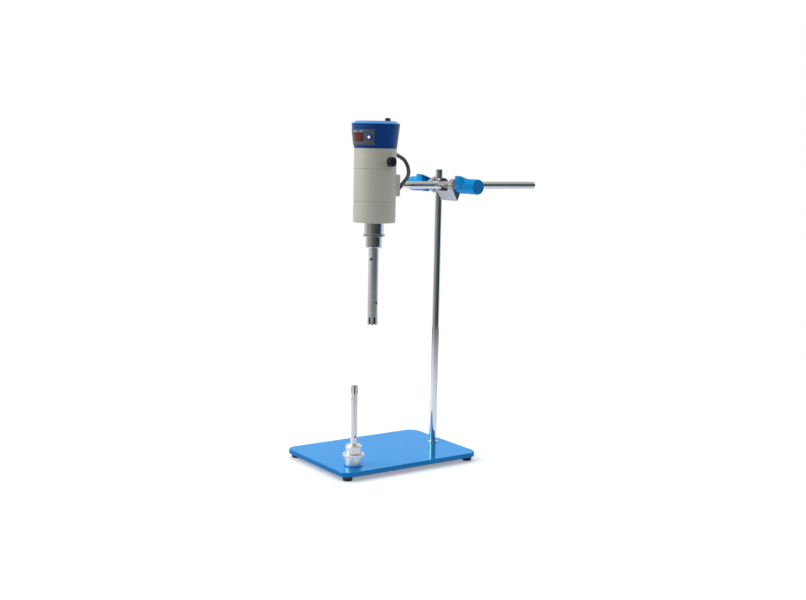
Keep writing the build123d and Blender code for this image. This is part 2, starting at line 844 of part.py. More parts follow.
# Push button: round cap on a stem that reaches in to its switch.
button_top = bezel_top + button_proud
with BuildPart() as push_button:
    with BuildSketch(cap_facing(button_angle, button_height, button_top)):
        Circle(button_radius)
    extrude(amount=-button_top)
    fillet(push_button.edges().filter_by(GeomType.CIRCLE), button_edge_round)
    with BuildSketch(cap_facing(button_angle, button_height, 0)):
        Circle(button_stem_radius)
    extrude(amount=-button_stem_length)
push_button.part.label = "push_button"
export_step(push_button.part, "parts/push_button.step")

# Power switch: block behind the button, on the circuit board.
switch_face = cap_radius(button_height) - button_stem_length - button_travel - body_gap
switch_rise = button_height - board_height - board_thickness
with BuildPart() as power_switch:
    with BuildSketch(facing_out(button_angle, switch_face, cap_z + button_height)):
        Rectangle(switch_size, 2 * switch_rise)
    extrude(amount=-switch_size)
power_switch.part.label = "power_switch"
export_step(power_switch.part, "parts/power_switch.step")

# Circuit board: speed control, held round its edge in the cap.
with BuildPart() as circuit_board:
    with BuildSketch(motor_level(cap_z + board_height)):
        Circle(cap_radius(board_height) - cap_wall - body_gap)
    extrude(amount=board_thickness)
circuit_board.part.label = "circuit_board"
export_step(circuit_board.part, "parts/circuit_board.step")

# Display module: block of digits behind the window.
with BuildPart() as display_module:
    with BuildSketch(motor_level(cap_z + board_height + board_thickness)):
        with PolarLocations(inner_radius - module_depth / 2 - 1, 1, start_angle=display_middle):
            Rectangle(module_depth, module_width)
    extrude(amount=display_high - display_low)
display_module.part.label = "display_module"
export_step(display_module.part, "parts/display_module.step")

# Speed potentiometer: round body under the lid, on the board.
pot_top = lid_z + lid_height - lid_wall - dial_shaft_length / 2
with BuildPart() as speed_potentiometer:
    with BuildSketch(level(cap_z + board_height + board_thickness, dial_x, motor_y)):
        Circle(pot_radius)
    extrude(amount=pot_top - cap_z - board_height - board_thickness)
    with BuildSketch(level(pot_top, dial_x, motor_y)):
        Circle(dial_shaft_radius + running_gap)
    extrude(amount=-dial_shaft_length / 4, mode=Mode.SUBTRACT)
speed_potentiometer.part.label = "speed_potentiometer"
export_step(speed_potentiometer.part, "parts/speed_potentiometer.step")

# Speed dial: fluted knob on its shaft.
dial_base = lid_z + lid_height + body_gap
with BuildPart() as speed_dial:
    with BuildSketch(level(dial_base, dial_x, motor_y)):
        Circle(dial_radius)
    extrude(amount=dial_height, taper=dial_taper)
    fillet(speed_dial.edges().group_by(Axis.Z)[-1], dial_top_round)
    with BuildSketch(level(dial_base + dial_skirt, dial_x, motor_y)):
        with PolarLocations(dial_radius + dial_grip_out, dial_grip_count):
            Circle(dial_grip_radius)
    extrude(amount=dial_height, mode=Mode.SUBTRACT)
    with BuildSketch(level(dial_base, dial_x, motor_y)):
        Circle(dial_shaft_radius + seat_gap)
    extrude(amount=dial_height / 2, mode=Mode.SUBTRACT)
speed_dial.part.label = "speed_dial"
export_step(speed_dial.part, "parts/speed_dial.step")

with BuildPart() as dial_shaft:
    with BuildSketch(level(dial_base + dial_height / 2, dial_x, motor_y)):
        Circle(dial_shaft_radius)
    extrude(amount=-(dial_base + dial_height / 2 - pot_top + dial_shaft_length / 4 - body_gap))
dial_shaft.part.label = "dial_shaft"
export_step(dial_shaft.part, "parts/dial_shaft.step")

# ================================================================ motor inside
# Nose: flanged boss on the housing's floor, threaded outside for the union
# nut, with the seat of the lower bearing.
nose_low = motor_z - nose_length
nose_high = motor_z + floor_thickness + seat_gap + nose_flange_thickness
with BuildPart() as motor_nose:
    with BuildSketch(motor_level(nose_low)):
        Circle(nose_radius)
    extrude(amount=nose_high - nose_low)
    with BuildSketch(motor_level(nose_high - nose_flange_thickness)):
        Circle(nose_flange_radius)
    extrude(amount=nose_flange_thickness)
    with BuildSketch(motor_level(nose_low)):
        Circle(nose_bore_radius)
    extrude(amount=nose_high - nose_low, mode=Mode.SUBTRACT)
    with BuildSketch(motor_level(nose_high - bearing_width)):
        Circle(bearing_radius + seat_gap)
    extrude(amount=bearing_width, mode=Mode.SUBTRACT)
    with BuildSketch(motor_level(nose_high)):
        with PolarLocations((nose_radius + nose_flange_radius) / 2, nose_screw_count):
            Circle(nose_screw_radius + seat_gap)
    extrude(amount=-nose_flange_thickness, mode=Mode.SUBTRACT)
motor_nose.part.label = "motor_nose"
export_step(motor_nose.part, "parts/motor_nose.step")

# Screws that hold the nose's flange to the floor.
with BuildPart() as nose_screws:
    with BuildSketch(motor_level(motor_z + floor_thickness / 4)):
        with PolarLocations((nose_radius + nose_flange_radius) / 2, nose_screw_count):
            Circle(nose_screw_radius)
    extrude(amount=nose_high - motor_z - floor_thickness / 4)
    with BuildSketch(motor_level(nose_high)):
        with PolarLocations((nose_radius + nose_flange_radius) / 2, nose_screw_count):
            Circle(nose_screw_head_radius)
    extrude(amount=nose_screw_radius)
nose_screws.part.label = "nose_screws"
export_step(nose_screws.part, "parts/nose_screws.step")


# Ball bearings: one in the nose, one in the upper housing's spider.
def make_bearing(height):
    """Bearing with a ring groove, seen as a solid ring round the shaft."""
    with BuildPart() as bearing:
        with BuildSketch(motor_level(height)):
            Circle(bearing_radius)
            Circle(shaft_radius + running_gap, mode=Mode.SUBTRACT)
        extrude(amount=bearing_width)
        with BuildSketch(motor_level(height + bearing_width)):
            Circle(bearing_groove_outer)
            Circle(bearing_groove_inner, mode=Mode.SUBTRACT)
        extrude(amount=-bearing_groove_depth, mode=Mode.SUBTRACT)
    return bearing


lower_bearing = make_bearing(nose_high - bearing_width + seat_gap)
lower_bearing.part.label = "lower_bearing"
export_step(lower_bearing.part, "parts/lower_bearing.step")

upper_bearing = make_bearing(boss_z)
upper_bearing.part.label = "upper_bearing"
export_step(upper_bearing.part, "parts/upper_bearing.step")

# Motor shaft, from the drive socket to the upper bearing.
shaft_low = nose_low + socket_length
shaft_high = boss_z + bearing_width + shaft_edge
with BuildPart() as motor_shaft:
    with BuildSketch(motor_level(shaft_low)):
        Circle(shaft_radius)
    extrude(amount=shaft_high - shaft_low)
    chamfer(motor_shaft.edges().group_by(Axis.Z)[-1], shaft_edge)
motor_shaft.part.label = "motor_shaft"
export_step(motor_shaft.part, "parts/motor_shaft.step")

# Drive socket: collar on the shaft's lower end with a hexagonal hole.
with BuildPart() as drive_socket:
    with BuildSketch(motor_level(nose_low + body_gap)):
        Circle(socket_radius)
        RegularPolygon(socket_flats / 2, 6, major_radius=False, mode=Mode.SUBTRACT)
    extrude(amount=socket_length - body_gap - seat_gap)
drive_socket.part.label = "drive_socket"
export_step(drive_socket.part, "parts/drive_socket.step")

# Cooling fan: hub, backplate and blades under the armature.
with BuildPart() as cooling_fan:
    with BuildSketch(motor_level(motor_z + fan_base)):
        Circle(fan_radius)
    extrude(amount=fan_blade_thickness)
    with BuildSketch(motor_level(motor_z + fan_base)):
        Circle(fan_hub_radius)
        with PolarLocations((fan_hub_radius + fan_radius) / 2, fan_blade_count):
            Rectangle(fan_radius - fan_hub_radius + 2 * fan_blade_overlap, fan_blade_thickness)
    extrude(amount=fan_height)
    with BuildSketch(motor_level(motor_z + fan_base)):
        Circle(shaft_radius + seat_gap)
    extrude(amount=fan_height, mode=Mode.SUBTRACT)
cooling_fan.part.label = "cooling_fan"
export_step(cooling_fan.part, "parts/cooling_fan.step")

# Field core: laminated ring with two pole shoes round the armature.
field_z = middle_z + field_base
with BuildPart() as field_core:
    with BuildSketch(motor_level(field_z)):
        Circle(field_radius)
        Circle(field_radius - field_ring_wall, mode=Mode.SUBTRACT)
        with PolarLocations(pole_middle, 2):
            Rectangle(pole_depth, pole_width)
        Circle(core_radius + field_gap, mode=Mode.SUBTRACT)
    extrude(amount=field_length)
field_core.part.label = "field_core"
export_step(field_core.part, "parts/field_core.step")

# Field windings: the coil ends that show above and below the core.
with BuildPart() as field_windings:
    with BuildSketch(motor_level(field_z + field_length + seat_gap)):
        Circle(field_radius - housing_wall)
        Circle(coil_inner_radius, mode=Mode.SUBTRACT)
    extrude(amount=coil_length)
    with BuildSketch(motor_level(field_z - seat_gap)):
        Circle(field_radius - housing_wall)
        Circle(coil_inner_radius, mode=Mode.SUBTRACT)
    extrude(amount=-coil_length)
    fillet(field_windings.edges().filter_by(GeomType.CIRCLE), coil_length / 4)
field_windings.part.label = "field_windings"
export_step(field_windings.part, "parts/field_windings.step")

# Armature: slotted stack of laminations on the shaft.
core_z = field_z + (field_length - core_length) / 2
with BuildPart() as armature_core:
    with BuildSketch(motor_level(core_z)):
        Circle(core_radius)
        with PolarLocations(core_radius - core_slot_depth / 2, core_slot_count):
            Rectangle(core_slot_depth, core_slot_width, mode=Mode.SUBTRACT)
        Circle(shaft_radius + seat_gap, mode=Mode.SUBTRACT)
    extrude(amount=core_length)
armature_core.part.label = "armature_core"
export_step(armature_core.part, "parts/armature_core.step")

# Commutator: copper drum that the brushes ride on.
commutator_z = brush_z - commutator_length / 2
with BuildPart() as commutator:
    with BuildSketch(motor_level(commutator_z)):
        Circle(commutator_radius)
        with PolarLocations(commutator_radius, 2 * core_slot_count):
            Rectangle(2 * commutator_slot_depth, commutator_slot_width, mode=Mode.SUBTRACT)
        Circle(shaft_radius + seat_gap, mode=Mode.SUBTRACT)
    extrude(amount=commutator_length)
commutator.part.label = "commutator"
export_step(commutator.part, "parts/commutator.step")

# Carbon brushes, their brass holders and the screw caps that close them.
brush_tip = commutator_radius + body_gap
holder_tip = brush_tip + housing_wall
with BuildPart() as carbon_brushes:
    for side in (0, 180):
        with BuildSketch(facing_out(brush_angle + side, brush_tip, brush_z)):
            Rectangle(brush_width, brush_width)
        extrude(amount=brush_length)
carbon_brushes.part.label = "carbon_brushes"
export_step(carbon_brushes.part, "parts/carbon_brushes.step")

with BuildPart() as brush_holders:
    for side in (0, 180):
        with BuildSketch(facing_out(brush_angle + side, holder_tip, brush_z)):
            Circle(brush_holder_radius)
            Rectangle(brush_width + seat_gap, brush_width + seat_gap, mode=Mode.SUBTRACT)
        extrude(amount=housing_radius + brush_boss_proud - holder_tip - seat_gap)
brush_holders.part.label = "brush_holders"
export_step(brush_holders.part, "parts/brush_holders.step")

cap_seat = housing_radius + brush_boss_proud + seat_gap
brush_cap_height = brush_cap_proud - brush_boss_proud
with BuildPart() as brush_caps:
    for side in (0, 180):
        with BuildSketch(facing_out(brush_angle + side, cap_seat, brush_z)):
            Circle(brush_cap_radius)
        extrude(amount=brush_cap_height)
    chamfer(brush_caps.edges().filter_by(GeomType.CIRCLE), brush_cap_edge)
    for side in (0, 180):
        with BuildSketch(facing_out(brush_angle + side, cap_seat + brush_cap_height, brush_z)):
            Rectangle(3 * brush_cap_radius, brush_slot_width)
        extrude(amount=-brush_slot_depth, mode=Mode.SUBTRACT)
brush_caps.part.label = "brush_caps"
export_step(brush_caps.part, "parts/brush_caps.step")

# ================================================================ motor lead
# Gland on the upper housing, outlet on the mounting pad, and the lead between.
with BuildPart() as lead_gland:
    with BuildSketch(lead_exit.offset(-gland_length / 2)):
        Circle(gland_radius)
    extrude(amount=-gland_length - housing_wall)
    with BuildSketch(lead_exit.offset(-gland_length / 2)):
        Circle(gland_radius)
    with BuildSketch(lead_exit):
        Circle(gland_lip_radius)
    loft()
lead_gland.part.label = "lead_gland"
export_step(lead_gland.part, "parts/lead_gland.step")

# Ferrule that takes the lead into the pad, cut off flush with the pad's face.
with BuildPart() as lead_outlet:
    with BuildSketch(lead_entry):
        Circle(outlet_radius)
    extrude(amount=-4 * outlet_radius)
    split(bisect_by=facing_out(0, pad_face + seat_gap, arm_z), keep=Keep.TOP)
lead_outlet.part.label = "lead_outlet"
export_step(lead_outlet.part, "parts/lead_outlet.step")

# The lead itself: straight runs joined by tangent arcs.
lead_radii = route_radii(lead_route)
print("lead radii", [round(radius, 1) for radius in lead_radii])
with BuildPart() as motor_lead:
    with BuildLine() as lead_path:
        FilletPolyline(*lead_route, radius=lead_radii)
    with BuildSketch(lead_exit):
        Circle(lead_radius)
    sweep(path=lead_path.line)
lead_length = lead_path.wires()[0].length
lead_ratio = motor_lead.part.volume / (pi * lead_radius**2 * lead_length)
print("lead length", round(lead_length, 1), "volume against section times length", round(lead_ratio, 3))
motor_lead.part.label = "motor_lead"
export_step(motor_lead.part, "parts/motor_lead.step")


# ================================================================ work heads
# A work head is built along its own axis: zero is the motor's lower face and
# distance grows towards the tip. Both heads share the fit on the nose.
nut_bore = nose_radius + body_gap
collar_flange_radius = nose_radius - body_gap


def head_section(plane):
    """Plane through a head's axis: local X is the radius, local Y runs to the tip."""
    return Plane(origin=plane.origin, x_dir=plane.x_dir, z_dir=plane.x_dir.cross(plane.z_dir))


def turned(plane, outline):
    """Solid turned round a head's axis from an outline of radius and distance."""
    with BuildPart() as body:
        with BuildSketch(head_section(plane)):
            with BuildLine():
                Polyline(*outline, close=True)
            make_face()
        revolve(axis=Axis(plane.origin, plane.z_dir))
    return body


def make_union_nut(plane, nut_radius, nut_height, ring_radius, ring_height):
    """Union nut: smooth barrel over the nose and a fluted grip ring at its lip."""
    lip_start = nut_height + ring_height - 2 * collar_flange_thickness
    with BuildPart() as nut:
        with BuildSketch(plane.offset(body_gap)):
            Circle(nut_radius)
        extrude(amount=nut_height - body_gap)
        chamfer(nut.edges().group_by(Axis(plane.origin, plane.z_dir))[0], nut_edge)
        with BuildSketch(plane.offset(nut_height)):
            Circle(ring_radius)
        extrude(amount=ring_height)
        ring_edges = nut.edges().filter_by(GeomType.CIRCLE).sort_by(SortBy.RADIUS)[-2:]
        chamfer(ring_edges, ring_edge)
        with BuildSketch(plane.offset(nut_height)):
            with PolarLocations(ring_radius + ring_flute_out, ring_flute_count):
                Circle(ring_flute_radius)
        extrude(amount=ring_height, mode=Mode.SUBTRACT)
        with BuildSketch(plane):
            Circle(nut_bore)
        extrude(amount=lip_start, mode=Mode.SUBTRACT)
        with BuildSketch(plane):
            Circle(collar_neck_radius + body_gap)
        extrude(amount=nut_height + ring_height, mode=Mode.SUBTRACT)
    return nut


def make_collar(plane, collar_radius, nut_length, collar_height, tube_radius):
    """Head body: flange caught in the nut, neck through its lip, round shoulder."""
    bore = tube_radius - stator_wall
    flange_end = nut_length - 2 * collar_flange_thickness - body_gap
    lower_start = nut_length + body_gap
    lower_end = nut_length + collar_height
    return turned(
        plane,
        [
            (bore, flange_end - collar_flange_thickness),
            (collar_flange_radius, flange_end - collar_flange_thickness),
            (collar_flange_radius, flange_end),
            (collar_neck_radius, flange_end),
            (collar_neck_radius, lower_start),
            (collar_radius, lower_start),
            (collar_radius, lower_end - collar_shoulder_drop),
            (collar_radius - collar_shoulder_run, lower_end),
            (tube_radius + seat_gap, lower_end),
            (tube_radius + seat_gap, lower_end - collar_seat_depth),
            (bore, lower_end - collar_seat_depth),
        ],
    )


def make_stator(plane, tube_radius, tube_start, tube_end, slot, holes):
    """Stator tube: open end cut into teeth by slots, and cross holes in its wall."""
    inner = tube_radius - stator_wall
    slot_width, slot_length, slot_turn = slot
    with BuildPart() as tube:
        with BuildSketch(plane.offset(tube_start)):
            Circle(tube_radius)
            Circle(inner, mode=Mode.SUBTRACT)
        extrude(amount=tube_end - tube_start)
        with BuildSketch(plane.offset(tube_end - slot_length)):
            with PolarLocations(tube_radius - stator_wall / 2, stator_slot_count, slot_turn):
                Rectangle(2 * stator_wall, slot_width)
        extrude(amount=slot_length, mode=Mode.SUBTRACT)
        for distance, plan_angle, hole_radius in holes:
            out = Vector(cos(radians(plan_angle)), sin(radians(plan_angle)), 0)
            with BuildSketch(Plane(origin=plane.offset(distance).origin, z_dir=out)):
                Circle(hole_radius)
            extrude(amount=2 * tube_radius, mode=Mode.SUBTRACT)
    return tube


def make_bushes(plane, tube_radius, spindle_radius, places):
    """Plain bearings that carry the spindle inside the collar and the tube."""
    with BuildPart() as bushes:
        for place in places:
            with BuildSketch(plane.offset(place)):
                Circle(tube_radius - stator_wall - seat_gap)
                Circle(spindle_radius + running_gap, mode=Mode.SUBTRACT)
            extrude(amount=bush_length)
    return bushes


def make_spindle(plane, spindle_radius, spindle_end):
    """Spindle: hexagon for the drive socket, then a round shaft to the rotor."""
    hex_end = nose_length + body_gap
    with BuildPart() as spindle:
        with BuildSketch(plane.offset(hex_end - head_hex_reach)):
            RegularPolygon(head_hex_flats / 2, 6, major_radius=False)
        extrude(amount=head_hex_reach)
        with BuildSketch(plane.offset(hex_end)):
            Circle(spindle_radius)
        extrude(amount=spindle_end - hex_end)
    return spindle


def make_rotor(plane, tube_radius, spindle_radius, rotor_end):
    """Rotor: hub on the spindle's end with blades that sweep past the slots."""
    blade_reach = tube_radius - stator_wall - rotor_gap
    with BuildPart() as rotor:
        with BuildSketch(plane.offset(rotor_end - rotor_length)):
            Circle(spindle_radius + rotor_hub_wall)
            with PolarLocations(blade_reach / 2, rotor_blade_count):
                Rectangle(blade_reach, rotor_blade_thickness)
        extrude(amount=rotor_length)
        with BuildSketch(plane.offset(rotor_end - rotor_length)):
            Circle(spindle_radius + seat_gap)
        extrude(amount=rotor_length - rotor_hub_wall, mode=Mode.SUBTRACT)
        with BuildSketch(plane.offset(rotor_end - 2 * rotor_length)):
            Circle(2 * tube_radius)
            Circle(blade_reach, mode=Mode.SUBTRACT)
        extrude(amount=3 * rotor_length, mode=Mode.SUBTRACT)
    return rotor


# ---------------------------------------------------------------- mounted head
work_plane = Plane(origin=(motor_x, motor_y, motor_z), x_dir=(1, 0, 0), z_dir=(0, 0, -1))
work_nut_length = work_nut_height + work_ring_height
work_collar_end = work_nut_length + work_collar_height
work_tip = work_collar_end + work_tube_length
work_rotor_end = work_tip - rotor_tip_recess

union_nut = make_union_nut(
    work_plane, work_nut_radius, work_nut_height, work_ring_radius, work_ring_height
)
union_nut.part.label = "union_nut"
export_step(union_nut.part, "parts/union_nut.step")

head_collar = make_collar(
    work_plane, work_collar_radius, work_nut_length, work_collar_height, work_tube_radius
)
head_collar.part.label = "head_collar"
export_step(head_collar.part, "parts/head_collar.step")

stator_tube = make_stator(
    work_plane,
    work_tube_radius,
    work_collar_end - collar_seat_depth + seat_gap,
    work_tip,
    (work_slot_width, work_slot_length, work_slot_turn),
    [
        (work_collar_end + work_upper_hole, work_upper_hole_angle, work_hole_radius),
        (work_tip - work_lower_hole, work_lower_hole_angle, work_hole_radius),
    ],
)
stator_tube.part.label = "stator_tube"
export_step(stator_tube.part, "parts/stator_tube.step")

head_bushes = make_bushes(
    work_plane,
    work_tube_radius,
    work_spindle_radius,
    [
        work_nut_length - bush_length / 2,
        work_tip - work_slot_length - 2 * bush_length,
    ],
)
head_bushes.part.label = "head_bushes"
export_step(head_bushes.part, "parts/head_bushes.step")

drive_spindle = make_spindle(
    work_plane, work_spindle_radius, work_rotor_end - rotor_hub_wall - seat_gap
)
drive_spindle.part.label = "drive_spindle"
export_step(drive_spindle.part, "parts/drive_spindle.step")

rotor = make_rotor(work_plane, work_tube_radius, work_spindle_radius, work_rotor_end)
rotor.part.label = "rotor"
export_step(rotor.part, "parts/rotor.step")

# ---------------------------------------------------------------- spare head
# Stands on the plate on its union nut, with its slots up.
spare_plane = Plane(
    origin=(plate_x + spare_offset_x, plate_y + spare_offset_y, plate_top),
    x_dir=(1, 0, 0),
    z_dir=(0, 0, 1),
)
spare_nut_length = spare_nut_height + spare_ring_height
spare_collar_end = spare_nut_length + spare_collar_height
spare_tip = spare_collar_end + spare_tube_length
spare_rotor_end = spare_tip - rotor_tip_recess

spare_union_nut = make_union_nut(
    spare_plane, spare_nut_radius, spare_nut_height, spare_ring_radius, spare_ring_height
)
spare_union_nut.part.label = "spare_union_nut"
export_step(spare_union_nut.part, "parts/spare_union_nut.step")

spare_collar = make_collar(
    spare_plane, spare_collar_radius, spare_nut_length, spare_collar_height, spare_tube_radius
)
spare_collar.part.label = "spare_collar"
export_step(spare_collar.part, "parts/spare_collar.step")

spare_stator_tube = make_stator(
    spare_plane,
    spare_tube_radius,
    spare_collar_end - collar_seat_depth + seat_gap,
    spare_tip,
    (spare_slot_width, spare_slot_length, spare_slot_turn),
    [
        (spare_collar_end + spare_lower_hole, spare_lower_hole_angle, spare_hole_radius),
        (spare_tip - spare_upper_hole, spare_upper_hole_angle, spare_hole_radius),
    ],
)
spare_stator_tube.part.label = "spare_stator_tube"
export_step(spare_stator_tube.part, "parts/spare_stator_tube.step")

spare_bushes = make_bushes(
    spare_plane,
    spare_tube_radius,
    spare_spindle_radius,
    [
        spare_nut_length - bush_length / 2,
        spare_tip - spare_slot_length - 2 * bush_length,
    ],
)
spare_bushes.part.label = "spare_bushes"
export_step(spare_bushes.part, "parts/spare_bushes.step")

spare_spindle = make_spindle(
    spare_plane, spare_spindle_radius, spare_rotor_end - rotor_hub_wall - seat_gap
)
spare_spindle.part.label = "spare_spindle"
export_step(spare_spindle.part, "parts/spare_spindle.step")

spare_rotor = make_rotor(spare_plane, spare_tube_radius, spare_spindle_radius, spare_rotor_end)
spare_rotor.part.label = "spare_rotor"
export_step(spare_rotor.part, "parts/spare_rotor.step")
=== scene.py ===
import bmesh
import bpy
from math import cos, degrees, pi, radians, sin
from mathutils import Matrix, Vector
from mathutils.geometry import convex_hull_2d


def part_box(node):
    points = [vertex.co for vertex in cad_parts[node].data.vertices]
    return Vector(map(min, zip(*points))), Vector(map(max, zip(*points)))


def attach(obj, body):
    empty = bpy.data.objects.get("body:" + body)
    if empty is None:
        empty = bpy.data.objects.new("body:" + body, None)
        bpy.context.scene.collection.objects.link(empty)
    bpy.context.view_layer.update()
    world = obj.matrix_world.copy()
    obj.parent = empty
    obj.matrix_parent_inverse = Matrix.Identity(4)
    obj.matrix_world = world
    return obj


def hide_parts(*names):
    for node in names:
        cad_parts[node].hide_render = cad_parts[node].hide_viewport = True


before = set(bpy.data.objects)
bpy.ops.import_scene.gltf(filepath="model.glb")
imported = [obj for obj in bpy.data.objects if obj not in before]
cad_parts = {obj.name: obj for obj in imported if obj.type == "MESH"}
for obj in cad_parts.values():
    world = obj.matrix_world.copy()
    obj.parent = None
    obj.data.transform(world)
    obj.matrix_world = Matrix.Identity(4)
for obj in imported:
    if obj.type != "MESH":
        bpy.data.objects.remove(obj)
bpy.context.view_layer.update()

MM = 0.001

# ---------------------------------------------------------------- camera
# A plain studio camera with a 52 mm lens, on a tripod at about the height of
# the motor, turned to the stand's left front corner.
camera_place = (-1.21941, -1.66199, 0.54704)
camera_right = Vector((0.82024, -0.57165, 0.02069))
camera_up = Vector((0.0571, 0.11781, 0.99139))
camera_back = -Vector((0.56917, 0.81199, -0.12927))

camera = bpy.data.objects.new("studio_camera", bpy.data.cameras.new("studio_camera"))
bpy.context.scene.collection.objects.link(camera)
camera.data.sensor_width = 36
camera.data.lens = 52.0
camera.data.clip_start = 0.05
camera.matrix_world = Matrix.Translation(camera_place) @ Matrix(
    (camera_right, camera_up, camera_back)
).transposed().to_4x4()
bpy.context.scene.camera = camera
bpy.context.scene.view_settings.view_transform = "Standard"

# ---------------------------------------------------------------- motor lead
# The short lead that brings the current from the speed control out of the
# upper housing and back in at the mounting pad. PVC sheath over copper
# strands, drawn through a moulded gland and a ferrule.
motor_x, arm_y, arm_z = -127.5, -14.15, 484.0
lead_sheath_colour = (0.08, 0.095, 0.102)
lead_radius = 3.25
lead_points = [
    (42.2, 0.0, 51.6),
    (56.2, -0.5, 46.9),
    (64.4, -3.0, 35.0),
    (65.1, -7.0, 23.5),
    (59.9, -11.0, 13.9),
    (51.1, -12.8, 6.3),
    (44.4, -12.4, -0.8),
]
lead_route = [
    Vector((motor_x + x, arm_y + y, arm_z + z)) * MM for x, y, z in lead_points
]


def finish(name, colour, rough, metal=0.0):
    """A new finish: its material and the shader that the rest is wired to."""
    material = bpy.data.materials.new(name)
    material.use_nodes = True
    shader = material.node_tree.nodes["Principled BSDF"]
    shader.inputs["Base Color"].default_value = (*colour, 1)
    shader.inputs["Roughness"].default_value = rough
    shader.inputs["Metallic"].default_value = metal
    return material, shader


def speckle(material, grain_mm, stretch=(1, 1, 1), detail=3.0):
    """Noise that lies still on the piece, with grains of a size in millimetres."""
    tree = material.node_tree
    place = tree.nodes.new("ShaderNodeTexCoord")
    mapping = tree.nodes.new("ShaderNodeMapping")
    mapping.inputs["Scale"].default_value = [1 / (s * grain_mm * MM) for s in stretch]
    noise = tree.nodes.new("ShaderNodeTexNoise")
    noise.inputs["Scale"].default_value = 1.0
    noise.inputs["Detail"].default_value = detail
    tree.links.new(place.outputs["Object"], mapping.inputs["Vector"])
    tree.links.new(mapping.outputs["Vector"], noise.inputs["Vector"])
    return noise.outputs["Fac"]


def rescaled(tree, value, start, end, low=0.0, high=1.0):
    """Maps a wired value from the range of start to end on to that of low to high."""
    node = tree.nodes.new("ShaderNodeMapRange")
    limits = (("From Min", start), ("From Max", end), ("To Min", low), ("To Max", high))
    for socket, limit in limits:
        node.inputs[socket].default_value = limit
    tree.links.new(value, node.inputs["Value"])
    return node.outputs["Result"]


noise_low, noise_high = 0.3, 0.7


def tone(material, shader, fac, dark, light):
    """Lets the colour wander between a dark and a light shade."""
    tree = material.node_tree
    ramp = tree.nodes.new("ShaderNodeValToRGB")
    stops = ramp.color_ramp.elements
    for stop, position, shade in zip(stops, (noise_low, noise_high), (dark, light)):
        stop.position = position
        stop.color = (*shade, 1)
    tree.links.new(fac, ramp.inputs["Fac"])
    tree.links.new(ramp.outputs["Color"], shader.inputs["Base Color"])


def gloss(material, shader, fac, low, high):
    """Lets the roughness wander between two values."""
    tree = material.node_tree
    wander = rescaled(tree, fac, noise_low, noise_high, low, high)
    tree.links.new(wander, shader.inputs["Roughness"])


def relief(material, shader, fac, depth_mm, strength=1.0):
    """Raises and sinks the surface by a depth in millimetres."""
    tree = material.node_tree
    bump = tree.nodes.new("ShaderNodeBump")
    bump.inputs["Strength"].default_value = strength
    bump.inputs["Distance"].default_value = depth_mm * MM
    tree.links.new(fac, bump.inputs["Height"])
    tree.links.new(bump.outputs["Normal"], shader.inputs["Normal"])


def shades(colour, spread):
    """A colour made a little darker and a little lighter."""
    return (
        tuple(c * (1 - spread) for c in colour),
        tuple(min(1.0, c * (1 + spread)) for c in colour),
    )


sheath, shader = finish("lead_sheath", lead_sheath_colour, 0.34)
tone(sheath, shader, speckle(sheath, 6), *shades(lead_sheath_colour, 0.12))
gloss(sheath, shader, speckle(sheath, 1.2), 0.28, 0.42)
relief(sheath, shader, speckle(sheath, 0.5), 0.03)

lead_curve = bpy.data.curves.new("motor_lead_sheath", "CURVE")
lead_curve.dimensions = "3D"
lead_curve.bevel_depth = lead_radius * MM
lead_curve.bevel_resolution = 8
lead_curve.resolution_u = 24
lead_curve.use_fill_caps = True
lead_line = lead_curve.splines.new("NURBS")
lead_line.points.add(len(lead_route) - 1)
for control, place in zip(lead_line.points, lead_route):
    control.co = (*place, 1)
lead_line.order_u = 3
lead_line.use_endpoint_u = True
lead_curve.materials.append(sheath)
lead = bpy.data.objects.new("motor_lead_sheath", lead_curve)
bpy.context.scene.collection.objects.link(lead)
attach(lead, "motor")
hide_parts("motor_lead")

# ---------------------------------------------------------------- lead gland
# Moulded rubber gland on the upper housing, ribbed so that it bends with the
# lead, and the plain ferrule that takes the lead into the pad.
rubber_colour = (0.016, 0.016, 0.017)


def dress(node, material):
    """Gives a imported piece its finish."""
    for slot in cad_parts[node].material_slots:
        slot.material = material


def shape(name, mesh_maker, material, body, smooth_angle=35):
    """A new piece from mesh code, with its finish, on the body that carries it."""
    mesh = bpy.data.meshes.new(name)
    work = bmesh.new()
    mesh_maker(work)
    bmesh.ops.recalc_face_normals(work, faces=work.faces)
    work.to_mesh(mesh)
    work.free()
    mesh.shade_smooth()
    mesh.set_sharp_from_angle(angle=radians(smooth_angle))
    mesh.materials.append(material)
    piece = bpy.data.objects.new(name, mesh)
    bpy.context.scene.collection.objects.link(piece)
    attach(piece, body)
    return piece


def band(work, ring, beside):
    """Faces between two closed rings that have as many corners."""
    for k in range(len(ring)):
        after = (k + 1) % len(ring)
        work.faces.new((ring[k], ring[after], beside[after], beside[k]))


def lathe(outline, origin, direction, steps=64):
    """Mesh maker for a closed outline of (radius, height) in mm, turned round a line."""
    turn = Vector(direction).to_track_quat("Z", "Y").to_matrix()

    def make(work):
        rings = []
        for step in range(steps):
            angle = 2 * pi * step / steps
            ring = []
            for radius, height in outline:
                spot = Vector((radius * cos(angle), radius * sin(angle), height))
                ring.append(work.verts.new(Vector(origin) + turn @ spot * MM))
            rings.append(ring)
        for ring, beside in zip(rings, rings[1:] + rings[:1]):
            band(work, ring, beside)

    return make


rubber, shader = finish("black_rubber", rubber_colour, 0.55)
tone(rubber, shader, speckle(rubber, 3), *shades(rubber_colour, 0.25))
gloss(rubber, shader, speckle(rubber, 1.5), 0.45, 0.68)
relief(rubber, shader, speckle(rubber, 0.4), 0.05)

gland_bore = 3.3
gland_radius = 5.55
gland_root = -11.9
gland_lip = -0.05
rib_places = (-4.8, -3.2, -1.6)
rib_top_radius = 5.35
rib_height = 0.8
rib_taper = 0.3

